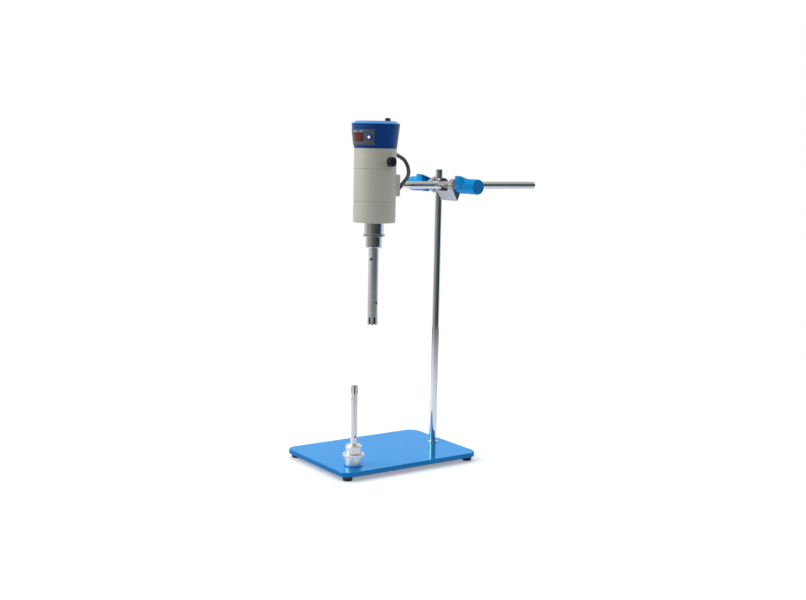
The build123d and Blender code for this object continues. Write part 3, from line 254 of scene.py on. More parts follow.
gland_outline = [(gland_bore, gland_root), (gland_radius, gland_root), (gland_radius, -5.6)]
for rib in rib_places:
    rib_radius = rib_top_radius - (rib - rib_places[0]) * rib_taper
    gland_outline += [
        (rib_radius - rib_height, rib - 0.5),
        (rib_radius, rib - 0.2),
        (rib_radius, rib + 0.3),
        (rib_radius - rib_height, rib + 0.6),
    ]
gland_outline += [(4.3, -0.4), (4.1, gland_lip), (gland_bore, gland_lip)]
gland = shape(
    "gland_relief",
    lathe(gland_outline, lead_route[0], lead_route[1] - lead_route[0]),
    rubber,
    "motor",
)
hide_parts("lead_gland")
dress("lead_outlet", rubber)

# ---------------------------------------------------------------- stand plate
# Thick steel plate, laser cut, ground round its edge and stoved with a blue
# gloss enamel that is clear enough to mirror what stands on it. The sides and
# underside are painted a deeper blue: painted shade where less light falls.
enamel_colour = (0.024, 0.34, 0.86)
side_shade_colour = (0.012, 0.17, 0.46)
enamel_tint = (0.24, 0.7, 1.0)


def blend(tree, share, start, end):
    """A colour that goes over from start to end, each a plain colour or a wired one."""
    mix = tree.nodes.new("ShaderNodeMix")
    mix.data_type = "RGBA"
    tree.links.new(share, mix.inputs["Factor"])
    for socket, colour in (("A", start), ("B", end)):
        if isinstance(colour, tuple):
            mix.inputs[socket].default_value = (*colour, 1)
        else:
            tree.links.new(colour, mix.inputs[socket])
    return mix.outputs["Result"]


def wired_colour(shader):
    """The wire that a shader takes its colour from."""
    return shader.inputs["Base Color"].links[0].from_socket


enamel, shader = finish("blue_enamel", enamel_colour, 0.1, 0.5)
tone(enamel, shader, speckle(enamel, 60), *shades(enamel_colour, 0.03))
enamel_tree = enamel.node_tree
facing = enamel_tree.nodes.new("ShaderNodeNewGeometry")
upward = enamel_tree.nodes.new("ShaderNodeSeparateXYZ")
enamel_tree.links.new(facing.outputs["Normal"], upward.inputs[0])
# Painted shade: the colour goes over to the darker blue as the face turns away from straight up.
shaded_coat = blend(enamel_tree, upward.outputs["Z"], side_shade_colour, wired_colour(shader))
enamel_tree.links.new(shaded_coat, shader.inputs["Base Color"])
gloss(enamel, shader, speckle(enamel, 12), 0.07, 0.12)
relief(enamel, shader, speckle(enamel, 2.2, detail=1.0), 0.004)
shader.inputs["Specular Tint"].default_value = (*enamel_tint, 1)
dress("base_plate", enamel)

# ---------------------------------------------------------------- feet
# Four tapered rubber pucks under the corners, each held by a zinc plated pan
# head screw that goes up into the plate.
zinc_colour = (0.55, 0.56, 0.58)

zinc, shader = finish("zinc_steel", zinc_colour, 0.3, 1.0)
tone(zinc, shader, speckle(zinc, 2), *shades(zinc_colour, 0.1))
gloss(zinc, shader, speckle(zinc, 0.8), 0.22, 0.4)
dress("feet", rubber)
dress("foot_screws", zinc)

# ---------------------------------------------------------------- column
# Drawn steel rod with a bright chrome plate, turned down at its foot and
# bolted through the plate with a washer above and a nut below.
chrome_colour = (0.83, 0.84, 0.86)

chrome, shader = finish("bright_chrome", chrome_colour, 0.05, 1.0)
gloss(chrome, shader, speckle(chrome, 9, stretch=(1, 1, 6)), 0.03, 0.075)
relief(chrome, shader, speckle(chrome, 3, stretch=(1, 1, 12), detail=1.0), 0.0015)
dress("column", chrome)
dress("column_washer", chrome)
dress("column_nut", zinc)

# ---------------------------------------------------------------- cross clamp
# Right angle boss head, die cast in zinc, tumbled and nickel plated, with
# open jaws milled for the arm in front and the column behind.
clamp_colour = (0.61, 0.615, 0.64)

nickel, shader = finish("nickel_casting", clamp_colour, 0.24, 1.0)
tone(nickel, shader, speckle(nickel, 4), *shades(clamp_colour, 0.06))
gloss(nickel, shader, speckle(nickel, 2.5), 0.17, 0.3)
relief(nickel, shader, speckle(nickel, 1.1), 0.008)
dress("clamp_block", nickel)

# ---------------------------------------------------------------- clamp knobs
# Two moulded knobs on threaded screws, one for each jaw. Hard blue plastic
# with a wing on the hub to turn against, and a disc pressed in its end.
knob_colour = (0.006, 0.36, 0.88)
knob_tint = (0.3, 0.75, 1.0)
disc_colour = (0.005, 0.19, 0.5)

knob_plastic, shader = finish("knob_plastic", knob_colour, 0.3, 0.3)
tone(knob_plastic, shader, speckle(knob_plastic, 14), *shades(knob_colour, 0.03))
gloss(knob_plastic, shader, speckle(knob_plastic, 3), 0.28, 0.33)
relief(knob_plastic, shader, speckle(knob_plastic, 0.8), 0.002)
shader.inputs["Specular IOR Level"].default_value = 0.25
shader.inputs["Specular Tint"].default_value = (*knob_tint, 1)

disc_plastic, shader = finish("disc_plastic", disc_colour, 0.4)
tone(disc_plastic, shader, speckle(disc_plastic, 4), *shades(disc_colour, 0.08))
relief(disc_plastic, shader, speckle(disc_plastic, 0.5), 0.02)
shader.inputs["Specular IOR Level"].default_value = 0.2

knob_length = 47.3
grip_radius = 13.0
grip_start = 26.4
hub_length = 15.4
hub_wall = 2.4
wing_tip = (13.2, 16.6, 1.3)
hub_heel = (-2.0, -11.2, 1.8)
flare_run = 10.0
flare_hollow = 0.5
hollow_depth = 9.0
hollow_floor_radius = 12.6
screw_hole_radius = 5.0
recess_radius = 11.05
recess_depth = 2.05


def reach_of(corners, steps=96):
    """How far a shape made of rounded corners reaches, all the way round its middle."""
    rim = [
        Vector((x + r * cos(k * pi / 24), y + r * sin(k * pi / 24)))
        for x, y, r in corners
        for k in range(48)
    ]
    hull = [rim[k] for k in convex_hull_2d(rim)]
    reach = []
    for step in range(steps):
        ray = Vector((cos(2 * pi * step / steps), sin(2 * pi * step / steps)))
        best = 0.0
        for a, b in zip(hull, hull[1:] + hull[:1]):
            edge = b - a
            cross = ray.x * edge.y - ray.y * edge.x
            if abs(cross) > 1e-9:
                far = (a.x * edge.y - a.y * edge.x) / cross
                share = (a.x * ray.y - a.y * ray.x) / cross
                if far > 0 and -1e-6 <= share <= 1 + 1e-6:
                    best = max(best, far)
        reach.append(best)
    return reach


def moulded_knob(hub_face, outward, wing_side):
    """Mesh maker for a knob: hollow hub with a wing, flare, grip and recess for its disc."""
    hub = reach_of(
        [(0, 0, grip_radius)]
        + [(wing_side * x, y, r) for x, y, r in (wing_tip, hub_heel)]
    )
    hollow = [reach - hub_wall for reach in hub]

    def inset(outline, depth):
        return [reach - depth for reach in outline]

    def round_row(radius):
        return [radius] * len(hub)

    rows = [
        (hollow_depth, round_row(screw_hole_radius)),
        (hollow_depth, [min(reach, hollow_floor_radius) for reach in hollow]),
        (0.5, hollow),
        (0.0, inset(hollow, -0.3)),
        (0.0, inset(hub, 0.6)),
        (0.25, inset(hub, 0.2)),
        (0.7, hub),
        (hub_length - 0.8, hub),
        (hub_length, inset(hub, 0.15)),
    ]
    for share in (0.25, 0.5, 0.75):
        waist = flare_hollow * sin(pi * share)
        flare = [reach + (grip_radius - reach) * share - waist for reach in hub]
        rows.append((hub_length + share * flare_run, flare))
    rows += [
        (grip_start, round_row(grip_radius)),
        (knob_length - 1.2, round_row(grip_radius)),
        (knob_length - 0.35, round_row(grip_radius - 0.3)),
        (knob_length, round_row(grip_radius - 1.1)),
        (knob_length, round_row(recess_radius)),
        (knob_length - recess_depth, round_row(recess_radius)),
    ]

    def make(work):
        rings = []
        for along, reach in rows:
            ring = []
            for step, far in enumerate(reach):
                angle = 2 * pi * step / len(reach)
                spot = Vector((far * cos(angle), outward * along, far * sin(angle)))
                ring.append(work.verts.new(hub_face + spot * MM))
            rings.append(ring)
        for ring, beside in zip(rings, rings[1:]):
            band(work, ring, beside)
        work.faces.new(rings[0])
        work.faces.new(rings[-1])

    return make


for node, body, outward in (
    ("arm_clamp_knob", "arm_knob", -1),
    ("column_clamp_knob", "column_knob", 1),
):
    low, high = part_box(node)
    screw_low, screw_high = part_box(node.replace("knob", "screw"))
    screw_middle = (screw_low + screw_high) / 2
    hub_face = Vector((screw_middle.x, high.y if outward < 0 else low.y, screw_middle.z))
    knob = shape(
        node + "_moulding",
        moulded_knob(hub_face, outward, wing_side=-1),
        knob_plastic,
        body,
    )
    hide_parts(node)
dress("arm_knob_cap", disc_plastic)
dress("column_knob_cap", disc_plastic)

steel_colour = (0.5, 0.505, 0.515)
steel, shader = finish("bright_steel", steel_colour, 0.28, 1.0)
tone(steel, shader, speckle(steel, 2), *shades(steel_colour, 0.08))
gloss(steel, shader, speckle(steel, 1.0), 0.2, 0.36)

thread_radius = 4.0
thread_depth = 0.55
thread_pitch = 1.25


def threaded_rod(start, direction, length, around=36, per_turn=6):
    """Mesh maker for a rod whose whole length carries a screw thread, in mm."""
    turn = Vector(direction).to_track_quat("Z", "Y").to_matrix()

    def make(work):
        count = int(length / thread_pitch * per_turn)
        rings = []
        for k in range(count + 1):
            along = length * k / count
            ring = []
            for step in range(around):
                phase = (along / thread_pitch - step / around) % 1
                end = min(1.0, min(along, length - along) / thread_pitch)
                radius = thread_radius - thread_depth * (abs(2 * phase - 1) * end + 1 - end)
                angle = 2 * pi * step / around
                spot = Vector((radius * cos(angle), radius * sin(angle), along))
                ring.append(work.verts.new(Vector(start) + turn @ spot * MM))
            rings.append(ring)
        for ring, beside in zip(rings, rings[1:]):
            band(work, ring, beside)
        work.faces.new(rings[0])
        work.faces.new(rings[-1])

    return make


screw_in_knob = 30.0
ferrule_bore = thread_radius - thread_depth
ferrule_radius = 6.45
ferrule_length = 5.9
ferrule_outline = [
    (ferrule_bore, 0.05),
    (ferrule_radius - 1.05, 0.05),
    (ferrule_radius - 0.35, 0.5),
    (ferrule_radius, 1.4),
    (ferrule_radius, ferrule_length - 1.3),
    (ferrule_radius - 0.35, ferrule_length - 0.5),
    (ferrule_radius - 1.05, ferrule_length),
    (ferrule_bore, ferrule_length),
]

for node, body, inward in (
    ("arm_clamp_screw", "arm_knob", 1),
    ("column_clamp_screw", "column_knob", -1),
):
    low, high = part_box(node)
    middle = (low + high) / 2
    start = Vector((middle.x, low.y if inward > 0 else high.y, middle.z))
    hub_face = start + Vector((0, inward * screw_in_knob * MM, 0))
    screw = shape(
        node + "_thread",
        threaded_rod(start, (0, inward, 0), (high.y - low.y) / MM),
        steel,
        body,
    )
    ferrule = shape(
        node + "_ferrule",
        lathe(ferrule_outline, hub_face, (0, inward, 0)),
        chrome,
        body,
    )
    for piece in (screw, ferrule):
        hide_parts(node)

# ---------------------------------------------------------------- arm
# Chromed steel rod, turned to a cone and a threaded spigot that screws into
# the motor's mounting pad, where a thin nut locks it.
dress("arm_rod", chrome)
dress("arm_lock_nut", steel)

# ---------------------------------------------------------------- motor housings
# Three aluminium castings, spigoted into each other and sprayed in a warm
# cream grey enamel. A fine gap shows at each seam.
cream_colour = (0.5, 0.49, 0.425)

cream, shader = finish("cream_enamel", cream_colour, 0.4)
tone(cream, shader, speckle(cream, 35), *shades(cream_colour, 0.025))
gloss(cream, shader, speckle(cream, 6), 0.34, 0.46)
relief(cream, shader, speckle(cream, 0.9, detail=2.0), 0.02)
for node in ("lower_housing", "middle_housing", "upper_housing"):
    dress(node, cream)

# ---------------------------------------------------------------- brush caps
# Slotted screw caps of black phenolic that close the two brush holders, and
# come out with a coin when a brush is changed.
phenolic_colour = (0.008, 0.009, 0.012)

phenolic, shader = finish("black_phenolic", phenolic_colour, 0.3)
tone(phenolic, shader, speckle(phenolic, 2), *shades(phenolic_colour, 0.2))
gloss(phenolic, shader, speckle(phenolic, 1.5), 0.24, 0.4)
relief(phenolic, shader, speckle(phenolic, 0.5), 0.01)
shader.inputs["Specular IOR Level"].default_value = 0.3
dress("brush_caps", phenolic)

# ---------------------------------------------------------------- control cap
# Flared cap and lid, moulded in deep blue plastic with a light spark texture
# and clipped over the upper housing. The lid is painted a far lighter blue
# than the cap: painted light falling on its top.
cap_colour = (0.002, 0.05, 0.24)
lit_lid_colour = (0.12, 0.41, 0.95)
lid_tint = (0.4, 0.75, 1.0)

cap_plastic, shader = finish("cap_plastic", cap_colour, 0.35)
tone(cap_plastic, shader, speckle(cap_plastic, 20), *shades(cap_colour, 0.05))
gloss(cap_plastic, shader, speckle(cap_plastic, 4), 0.3, 0.42)
relief(cap_plastic, shader, speckle(cap_plastic, 0.6), 0.008)
shader.inputs["Specular IOR Level"].default_value = 0.2
dress("control_cap", cap_plastic)

# The same plastic as the cap, painted lighter: painted light from above.
lit_lid_plastic, shader = finish("lit_lid_plastic", lit_lid_colour, 0.25, 0.4)
tone(lit_lid_plastic, shader, speckle(lit_lid_plastic, 20), *shades(lit_lid_colour, 0.04))
gloss(lit_lid_plastic, shader, speckle(lit_lid_plastic, 6), 0.25, 0.28)
relief(lit_lid_plastic, shader, speckle(lit_lid_plastic, 0.9), 0.0008)
shader.inputs["Specular Tint"].default_value = (*lid_tint, 1)
dress("cap_lid", lit_lid_plastic)

# ---------------------------------------------------------------- panel
# Grey printed polyester film on a thin plate, with a dark red filter over
# the speed display.
panel_colour = (0.085, 0.107, 0.128)
filter_colour = (0.085, 0.013, 0.017)

film, shader = finish("panel_film", panel_colour, 0.42)
tone(film, shader, speckle(film, 8), *shades(panel_colour, 0.05))
relief(film, shader, speckle(film, 0.35), 0.01)
shader.inputs["Specular IOR Level"].default_value = 0.2
dress("control_panel", film)

red_filter, shader = finish("red_filter", filter_colour, 0.12)
tone(red_filter, shader, speckle(red_filter, 5), *shades(filter_colour, 0.12))
shader.inputs["Specular IOR Level"].default_value = 0.35
dress("display_window", red_filter)

cap_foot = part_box("control_cap")[0].z
cap_foot_radius = 36.3
cap_rim_radius = 41.0
cap_height = 40.8
cap_slope = (cap_rim_radius - cap_foot_radius) / cap_height


def on_cap(angle, height, proud):
    """A point in metres on the flared cap, standing proud of it in mm."""
    radius = cap_foot_radius + cap_slope * height + proud
    return Vector(
        (
            (motor_x + radius * cos(radians(angle))) * MM,
            (arm_y + radius * sin(radians(angle))) * MM,
            cap_foot + height * MM,
        )
    )


def cap_patches(outlines, inner, outer):
    """Mesh maker for thin raised shapes on the cap, from (angle, height) outlines."""

    def make(work):
        for outline in outlines:
            back = [work.verts.new(on_cap(a, h, inner)) for a, h in outline]
            front = [work.verts.new(on_cap(a, h, outer)) for a, h in outline]
            work.faces.new(back)
            work.faces.new(front)
            band(work, back, front)

    return make


# Four unlit seven bar digits show faintly through the filter.
unlit_colour = (0.2, 0.03, 0.035)
unlit, shader = finish("unlit_digits", unlit_colour, 0.2)
tone(unlit, shader, speckle(unlit, 2), *shades(unlit_colour, 0.1))

window_middle, window_height = -172.0, 18.2
window_proud = 1.44
window_radius = 40.0
digit_pitch = 7.6
digit_tall = 7.6
digit_lean = 0.9
bar_wide = 0.9
bar_gap = 0.1
half_wide, half_tall = 1.7, 3.6


def bar(middle_angle, x0, y0, x1, y1):
    """Outline of one pointed bar of a digit, in (angle, height) on the cap."""
    half = bar_wide / 2
    run = Vector((x1 - x0, y1 - y0)).normalized()
    side = Vector((-run.y, run.x)) * half
    a, b = Vector((x0, y0)) + run * bar_gap, Vector((x1, y1)) - run * bar_gap
    corners = [
        a,
        a + run * half + side,
        b - run * half + side,
        b,
        b - run * half - side,
        a + run * half - side,
    ]
    outline = []
    for corner in corners:
        along = corner.x + corner.y * digit_lean / digit_tall
        outline.append((middle_angle + degrees(along / window_radius), window_height + corner.y))
    return outline


digit_bars = []
for place in (-1.5, -0.5, 0.5, 1.5):
    middle_angle = window_middle + place * digit_pitch
    for x0, y0, x1, y1 in (
        (-half_wide, half_tall, half_wide, half_tall),
        (-half_wide, 0, half_wide, 0),
        (-half_wide, -half_tall, half_wide, -half_tall),
        (-half_wide, 0, -half_wide, half_tall),
        (half_wide, 0, half_wide, half_tall),
        (-half_wide, -half_tall, -half_wide, 0),
        (half_wide, -half_tall, half_wide, 0),
    ):
        digit_bars.append(bar(middle_angle, x0, y0, x1, y1))
shape(
    "display_digits",
    cap_patches(digit_bars, window_proud - 0.1, window_proud + 0.04),
    unlit,
    "motor",
)

# Two plain pale bars are printed over the display, with no words in them.
print_colour = (0.72, 0.73, 0.74)
ink, shader = finish("pale_ink", print_colour, 0.5)
tone(ink, shader, speckle(ink, 1), *shades(print_colour, 0.05))

print_low, print_high = 27.0, 29.2
print_spans = ((-188, -184), (-182, -158))
print_inner, print_outer = 0.75, 0.86


def printed_bar(start, end, steps=8):
    """Outline of a bar that runs round the cap between two plan angles."""
    along = [start + (end - start) * k / steps for k in range(steps + 1)]
    return [(a, print_low) for a in along] + [(a, print_high) for a in reversed(along)]


shape(
    "panel_print",
    cap_patches([printed_bar(*span) for span in print_spans], print_inner, print_outer),
    ink,
    "motor",
)

# ---------------------------------------------------------------- push button
# Lit push button: a blue ring that slides in a fixed bezel, with a clear
# white lens over its lamp.
button_colour = (0.008, 0.1, 0.45)

button_plastic, shader = finish("button_plastic", button_colour, 0.22)
tone(button_plastic, shader, speckle(button_plastic, 2), *shades(button_colour, 0.08))
shader.inputs["Specular IOR Level"].default_value = 0.3
dress("push_button", button_plastic)
dress("button_bezel", button_plastic)

lens_colour = (0.93, 0.95, 0.97)
lamp_colour = (0.8, 0.9, 1.0)
lamp_strength = 0.35
lens_plastic, shader = finish("lamp_lens", lens_colour, 0.15)
tone(lens_plastic, shader, speckle(lens_plastic, 1), *shades(lens_colour, 0.03))
shader.inputs["Emission Color"].default_value = (*lamp_colour, 1)
shader.inputs["Emission Strength"].default_value = lamp_strength

button_angle, button_height, button_proud = -139.0, 18.4, 3.32
tilt = cap_slope / (1 + cap_slope**2) ** 0.5
level_share = (1 - tilt**2) ** 0.5
button_out = Vector(
    (
        cos(radians(button_angle)) * level_share,
        sin(radians(button_angle)) * level_share,
        -tilt,
    )
)
lens_radius = 2.2
lens_middle = 0.001
lens_outline = [
    (lens_middle, -0.6),
    (lens_radius, -0.6),
    (lens_radius, 0.0),
    (1.95, 0.25),
    (1.3, 0.45),
    (0.6, 0.55),
    (lens_middle, 0.58),
]
shape(
    "button_lens",
    lathe(
        lens_outline,
        on_cap(button_angle, button_height, 0) + button_out * button_proud * MM,
        button_out,
    ),
    lens_plastic,
    "power_button",
)

# ---------------------------------------------------------------- speed dial
# Small fluted knob of black plastic on the speed control's steel shaft, with a
# spun aluminium ring under it and a printed scale round the ring.
dress("speed_dial", phenolic)
dress("dial_shaft", steel)

aluminium_colour = (0.8, 0.81, 0.82)
aluminium, shader = finish("bright_aluminium", aluminium_colour, 0.25, 1.0)
tone(aluminium, shader, speckle(aluminium, 1), *shades(aluminium_colour, 0.06))
gloss(aluminium, shader, speckle(aluminium, 0.4), 0.18, 0.32)

dial_low, dial_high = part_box("speed_dial")
dial_middle = (dial_low + dial_high) / 2
dial_foot = Vector((dial_middle.x, dial_middle.y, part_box("cap_lid")[1].z))
ring_bore, ring_radius, ring_sunk = 3.0, 7.4, -0.1
dial_ring_outline = [
    (ring_bore, ring_sunk),
    (ring_radius, ring_sunk),
    (ring_radius, 0.1),
    (6.9, 0.42),
    (5.5, 0.5),
    (5.2, 0.25),
    (ring_bore, 0.25),
]
shape("dial_ring", lathe(dial_ring_outline, dial_foot, (0, 0, 1)), aluminium, "motor")

scale_first, scale_last, scale_marks = -225.0, 45.0, 11
tick_inner, tick_outer = 8.0, 9.6
tick_half, main_tick_half = 0.35, 0.5


def scale_ticks(work):
    """Eleven thin raised ticks, of which each fifth is wider."""
    for mark in range(scale_marks):
        angle = radians(scale_first + (scale_last - scale_first) * mark / (scale_marks - 1))
        out = Vector((cos(angle), sin(angle), 0))
        half = tick_half if mark % 5 else main_tick_half
        side = Vector((-sin(angle), cos(angle), 0)) * half * MM
        corners = ((tick_inner, -1), (tick_outer, -1), (tick_outer, 1), (tick_inner, 1))
        rings = []
        for height in (-0.05, 0.06):
            lift = Vector((0, 0, height * MM))
            rings.append(
                [work.verts.new(dial_foot + lift + out * r * MM + side * s) for r, s in corners]
            )
            work.faces.new(rings[-1])
        band(work, *rings)


shape("dial_scale", scale_ticks, ink, "motor")


def pointer_line(work):
    """A thin inlay that runs over the dial's rounded top edge and down its side."""
    top_flat, edge_round, half = 2.95, 1.6, 0.35
    outline = [(15, 0), (40, 0), (65, 0), (88, 0), (88, 2.0)]
    rows = []
    for lift in (-0.2, 0.04):
        row = []
        for bend, down in outline:
            reach = top_flat + (edge_round + lift) * sin(radians(bend)) + down * 0.07
            height = -edge_round + (edge_round + lift) * cos(radians(bend)) - down
            row.append(
                [
                    work.verts.new(
                        Vector((dial_middle.x, dial_middle.y, dial_high.z))
                        + Vector((side, -reach, height)) * MM
                    )
                    for side in (-half, half)
                ]
            )
        rows.append(row)
    under, upper = rows
    count = len(outline)
    for k in range(count - 1):
        for row in rows:
            work.faces.new((row[k][0], row[k][1], row[k + 1][1], row[k + 1][0]))
        for side in (0, 1):
            work.faces.new(
                (under[k][side], under[k + 1][side], upper[k + 1][side], upper[k][side])
            )
    for k in (0, count - 1):
        work.faces.new((under[k][0], under[k][1], upper[k][1], upper[k][0]))


shape("dial_pointer", pointer_line, ink, "speed_dial")

# ---------------------------------------------------------------- motor inside
# What the housings hold: board and switch, laminated field and armature,
# copper coils, drum and brushes, ball bearings, fan, shaft and socket.
board_colour = (0.02, 0.12, 0.045)
copper_colour = (0.72, 0.32, 0.16)
brass_colour = (0.7, 0.5, 0.2)
lamination_colour = (0.22, 0.22, 0.23)
carbon_colour = (0.03, 0.03, 0.032)

board, shader = finish("circuit_board", board_colour, 0.35)
tone(board, shader, speckle(board, 3), *shades(board_colour, 0.3))
copper, shader = finish("enamelled_copper", copper_colour, 0.3, 1.0)
tone(copper, shader, speckle(copper, 1, stretch=(1, 1, 0.3)), *shades(copper_colour, 0.2))
relief(copper, shader, speckle(copper, 0.6, stretch=(6, 6, 1)), 0.1)
brass, shader = finish("turned_brass", brass_colour, 0.25, 1.0)
tone(brass, shader, speckle(brass, 2), *shades(brass_colour, 0.1))
lamination, shader = finish("laminated_steel", lamination_colour, 0.45, 1.0)
stacked = (40, 40, 1)
tone(
    lamination,
    shader,
    speckle(lamination, 0.5, stretch=stacked),
    *shades(lamination_colour, 0.35),
)
relief(lamination, shader, speckle(lamination, 0.5, stretch=stacked), 0.05)
carbon, shader = finish("pressed_carbon", carbon_colour, 0.6)
tone(carbon, shader, speckle(carbon, 0.4), *shades(carbon_colour, 0.4))
for node, material in (
    ("circuit_board", board),
    ("power_switch", phenolic),
    ("display_module", phenolic),
    ("speed_potentiometer", zinc),
    ("motor_nose", steel),
    ("nose_screws", zinc),
    ("lower_bearing", steel),
    ("upper_bearing", steel),
    ("field_core", lamination),
    ("field_windings", copper),
    ("armature_core", lamination),
    ("commutator", copper),
    ("carbon_brushes", carbon),
    ("brush_holders", brass),
    ("motor_shaft", steel),
    ("drive_socket", steel),
    ("cooling_fan", phenolic),
):
    dress(node, material)

# ---------------------------------------------------------------- work heads
# Stainless steel throughout: a polished union nut and collar, a drawn, brushed
# tube, and a rotor on a thin spindle that runs in two polymer bushes. The
# spare head is a rougher satin painted paler: a painted highlight. The rotors
# and spindles are painted near black: painted shade inside the tubes.
stainless_colour = (0.7, 0.7, 0.71)
lit_satin_colour = (0.9, 0.9, 0.91)
shade_dark_colour = (0.13, 0.13, 0.135)
polymer_colour = (0.78, 0.77, 0.72)


def drawn_steel(name, colour, spread, rough, depth_mm):
    """Stainless steel with fine marks that run round the piece."""
    steel_finish, shader = finish(name, colour, sum(rough) / 2, 1.0)
    streaks = speckle(steel_finish, 0.4, stretch=(60, 60, 1))
    tone(steel_finish, shader, streaks, *shades(colour, spread))
    gloss(steel_finish, shader, speckle(steel_finish, 0.3, stretch=(80, 80, 1)), *rough)
    marks = speckle(steel_finish, 0.25, stretch=(100, 100, 1), detail=1.0)
    relief(steel_finish, shader, marks, depth_mm)
    return steel_finish


polished = drawn_steel("polished_stainless", stainless_colour, 0.05, (0.1, 0.22), 0.003)
brushed = drawn_steel("brushed_stainless", stainless_colour, 0.08, (0.3, 0.42), 0.0015)
# Painted highlight: the spare head's stainless is made paler for the bright light it mirrors.
lit_satin = drawn_steel("lit_satin_stainless", lit_satin_colour, 0.04, (0.32, 0.44), 0.0015)

polymer, shader = finish("white_polymer", polymer_colour, 0.4)
tone(polymer, shader, speckle(polymer, 3), *shades(polymer_colour, 0.04))

# Painted shade: the rotors and spindles are made near black for the dark inside the tubes.
shade_dark_steel, shader = finish("painted_shade_steel", shade_dark_colour, 0.35, 1.0)
tone(shade_dark_steel, shader, speckle(shade_dark_steel, 2), *shades(shade_dark_colour, 0.2))
gloss(shade_dark_steel, shader, speckle(shade_dark_steel, 0.8), 0.28, 0.45)

for material, nodes in (
    (polished, ("union_nut", "head_collar")),
    (brushed, ("stator_tube",)),
    (lit_satin, ("spare_union_nut", "spare_collar", "spare_stator_tube")),
    (shade_dark_steel, ("rotor", "spare_rotor", "drive_spindle", "spare_spindle")),
    (polymer, ("head_bushes", "spare_bushes")),
):
    for node in nodes:
        dress(node, material)

# ---------------------------------------------------------------- studio
# A wide white floor, a big soft lamp on the left, a weak one on the right, one
# overhead, and pale walls that the polished metal mirrors.
floor_radius = 1.5
floor_colour = (0.84, 0.89, 0.97)
floor_edge_colour = (0.2, 0.2, 0.2)
floor_corners = 96
floor_whitens = (0.25, 0.9)
floor_fades = (0.45, 1.45)
whiteness_near = 0.3

floor_mesh = bpy.data.meshes.new("studio_floor")
work = bmesh.new()
rim_angles = [2 * pi * k / floor_corners for k in range(floor_corners)]
work.faces.new(
    [work.verts.new((floor_radius * cos(a), floor_radius * sin(a), 0)) for a in rim_angles]
)
work.to_mesh(floor_mesh)
work.free()
floor = bpy.data.objects.new("studio_floor", floor_mesh)
bpy.context.scene.collection.objects.link(floor)
floor_paint, shader = finish("floor_paint", floor_colour, 0.7)
tone(floor_paint, shader, speckle(floor_paint, 300), *shades(floor_colour, 0.005))
floor_tree = floor_paint.node_tree
spot = floor_tree.nodes.new("ShaderNodeTexCoord")
away = floor_tree.nodes.new("ShaderNodeVectorMath")
away.operation = "LENGTH"
floor_tree.links.new(spot.outputs["Object"], away.inputs[0])
fade = rescaled(floor_tree, away.outputs["Value"], *floor_fades)
faded = blend(floor_tree, fade, wired_colour(shader), floor_edge_colour)
floor_tree.links.new(faded, shader.inputs["Base Color"])


def combined(tree, operation, first, second):
    """One number worked out from two wired ones."""
    node = tree.nodes.new("ShaderNodeMath")
    node.operation = operation
    tree.links.new(first, node.inputs[0])
    tree.links.new(second, node.inputs[1])
    return node.outputs["Value"]


# The floor's own glow evens it out to white where it is seen directly.
whiten = rescaled(floor_tree, away.outputs["Value"], *floor_whitens, whiteness_near, 1.0)
floor_paths = floor_tree.nodes.new("ShaderNodeLightPath")
glow = combined(floor_tree, "MULTIPLY", floor_paths.outputs["Is Camera Ray"], whiten)
shader.inputs["Emission Color"].default_value = (1, 1, 1, 1)
floor_tree.links.new(glow, shader.inputs["Emission Strength"])
floor_mesh.materials.append(floor_paint)


def soft_lamp(name, place, aim, size, power):
    """Rectangular soft box that looks at a point."""
    lamp = bpy.data.objects.new(name, bpy.data.lights.new(name, "AREA"))
    lamp.data.shape = "RECTANGLE"
    lamp.data.size, lamp.data.size_y = size
    lamp.data.energy = power
    lamp.location = place
    lamp.rotation_mode = "QUATERNION"
    lamp.rotation_quaternion = (Vector(aim) - Vector(place)).to_track_quat("-Z", "Y")
    bpy.context.scene.collection.objects.link(lamp)
    return lamp


soft_lamp("left_lamp", (-1.84, 0.78, 1.3), (0, 0, 0.3), (1.2, 1.6), 28)
right_lamp = soft_lamp("right_lamp", (1.2, -1.9, 1.2), (0, 0, 0.3), (1.2, 1.4), 8)
right_lamp.visible_glossy = False
top_lamp = soft_lamp("top_lamp", (0.0, 0.2, 2.3), (0, 0, 0.2), (3.0, 2.6), 24)
top_lamp.visible_glossy = False

world = bpy.data.worlds.new("studio_walls")
bpy.context.scene.world = world
world.use_nodes = True
tree = world.node_tree
tree.nodes.clear()
out = tree.nodes.new("ShaderNodeOutputWorld")
paths = tree.nodes.new("ShaderNodeLightPath")
heading = tree.nodes.new("ShaderNodeTexCoord")


def along(direction):
    """How far a ray's heading points along a fixed direction of the room."""
    dot = tree.nodes.new("ShaderNodeVectorMath")
    dot.operation = "DOT_PRODUCT"
    dot.inputs[1].default_value = direction
    tree.links.new(heading.outputs["Generated"], dot.inputs[0])
    return dot.outputs["Value"]


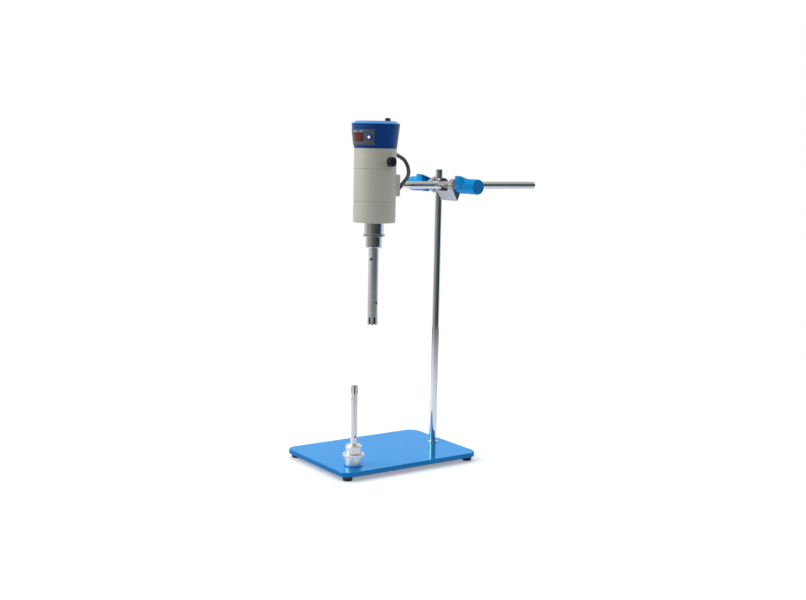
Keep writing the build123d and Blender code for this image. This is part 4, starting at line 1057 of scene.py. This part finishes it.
# The walls change shade with their bearing, in degrees from the front wall.
front_wall = (-0.574, -0.819, 0)
right_wall = (0.819, -0.574, 0)
bearing = combined(tree, "ARCTAN2", along(right_wall), along(front_wall))
walls = tree.nodes.new("ShaderNodeValToRGB")
wall_stops = [
    (-180, (0.95, 0.95, 0.95)),
    (-140, (0.85, 0.85, 0.83)),
    (-100, (0.58, 0.57, 0.54)),
    (-72, (0.2, 0.2, 0.185)),
    (-50, (0.38, 0.37, 0.34)),
    (-28, (0.16, 0.155, 0.14)),
    (15, (0.075, 0.075, 0.073)),
    (60, (0.022, 0.03, 0.042)),
    (86, (0.035, 0.085, 0.15)),
    (104, (0.6, 0.76, 0.92)),
    (140, (0.9, 0.94, 0.98)),
    (180, (0.95, 0.95, 0.95)),
]
stops = walls.color_ramp.elements
while len(stops) < len(wall_stops):
    stops.new(0.5)
for stop, (degrees_round, colour) in zip(stops, wall_stops):
    stop.position = (degrees_round + 180) / 360
    stop.color = (*colour, 1)
tree.links.new(rescaled(tree, bearing, -pi, pi), walls.inputs["Fac"])

ceiling_colour = (0.5, 0.48, 0.4)
ceiling_starts, ceiling_full = 0.25, 0.75
overhead = rescaled(tree, along((0, 0, 1)), ceiling_starts, ceiling_full)
room = blend(tree, overhead, walls.outputs["Color"], ceiling_colour)
backdrop = blend(tree, paths.outputs["Is Glossy Ray"], (1, 1, 1), room)

room_strength = 0.36
seen_light = tree.nodes.new("ShaderNodeBackground")
tree.links.new(backdrop, seen_light.inputs["Color"])
room_light = tree.nodes.new("ShaderNodeBackground")
room_light.inputs["Color"].default_value = (1, 1, 1, 1)
room_light.inputs["Strength"].default_value = room_strength
seen = paths.outputs["Is Camera Ray"]
for kind in ("Is Glossy Ray", "Is Transmission Ray"):
    seen = combined(tree, "MAXIMUM", seen, paths.outputs[kind])
choose = tree.nodes.new("ShaderNodeMixShader")
tree.links.new(seen, choose.inputs["Fac"])
tree.links.new(room_light.outputs["Background"], choose.inputs[1])
tree.links.new(seen_light.outputs["Background"], choose.inputs[2])
tree.links.new(choose.outputs["Shader"], out.inputs["Surface"])
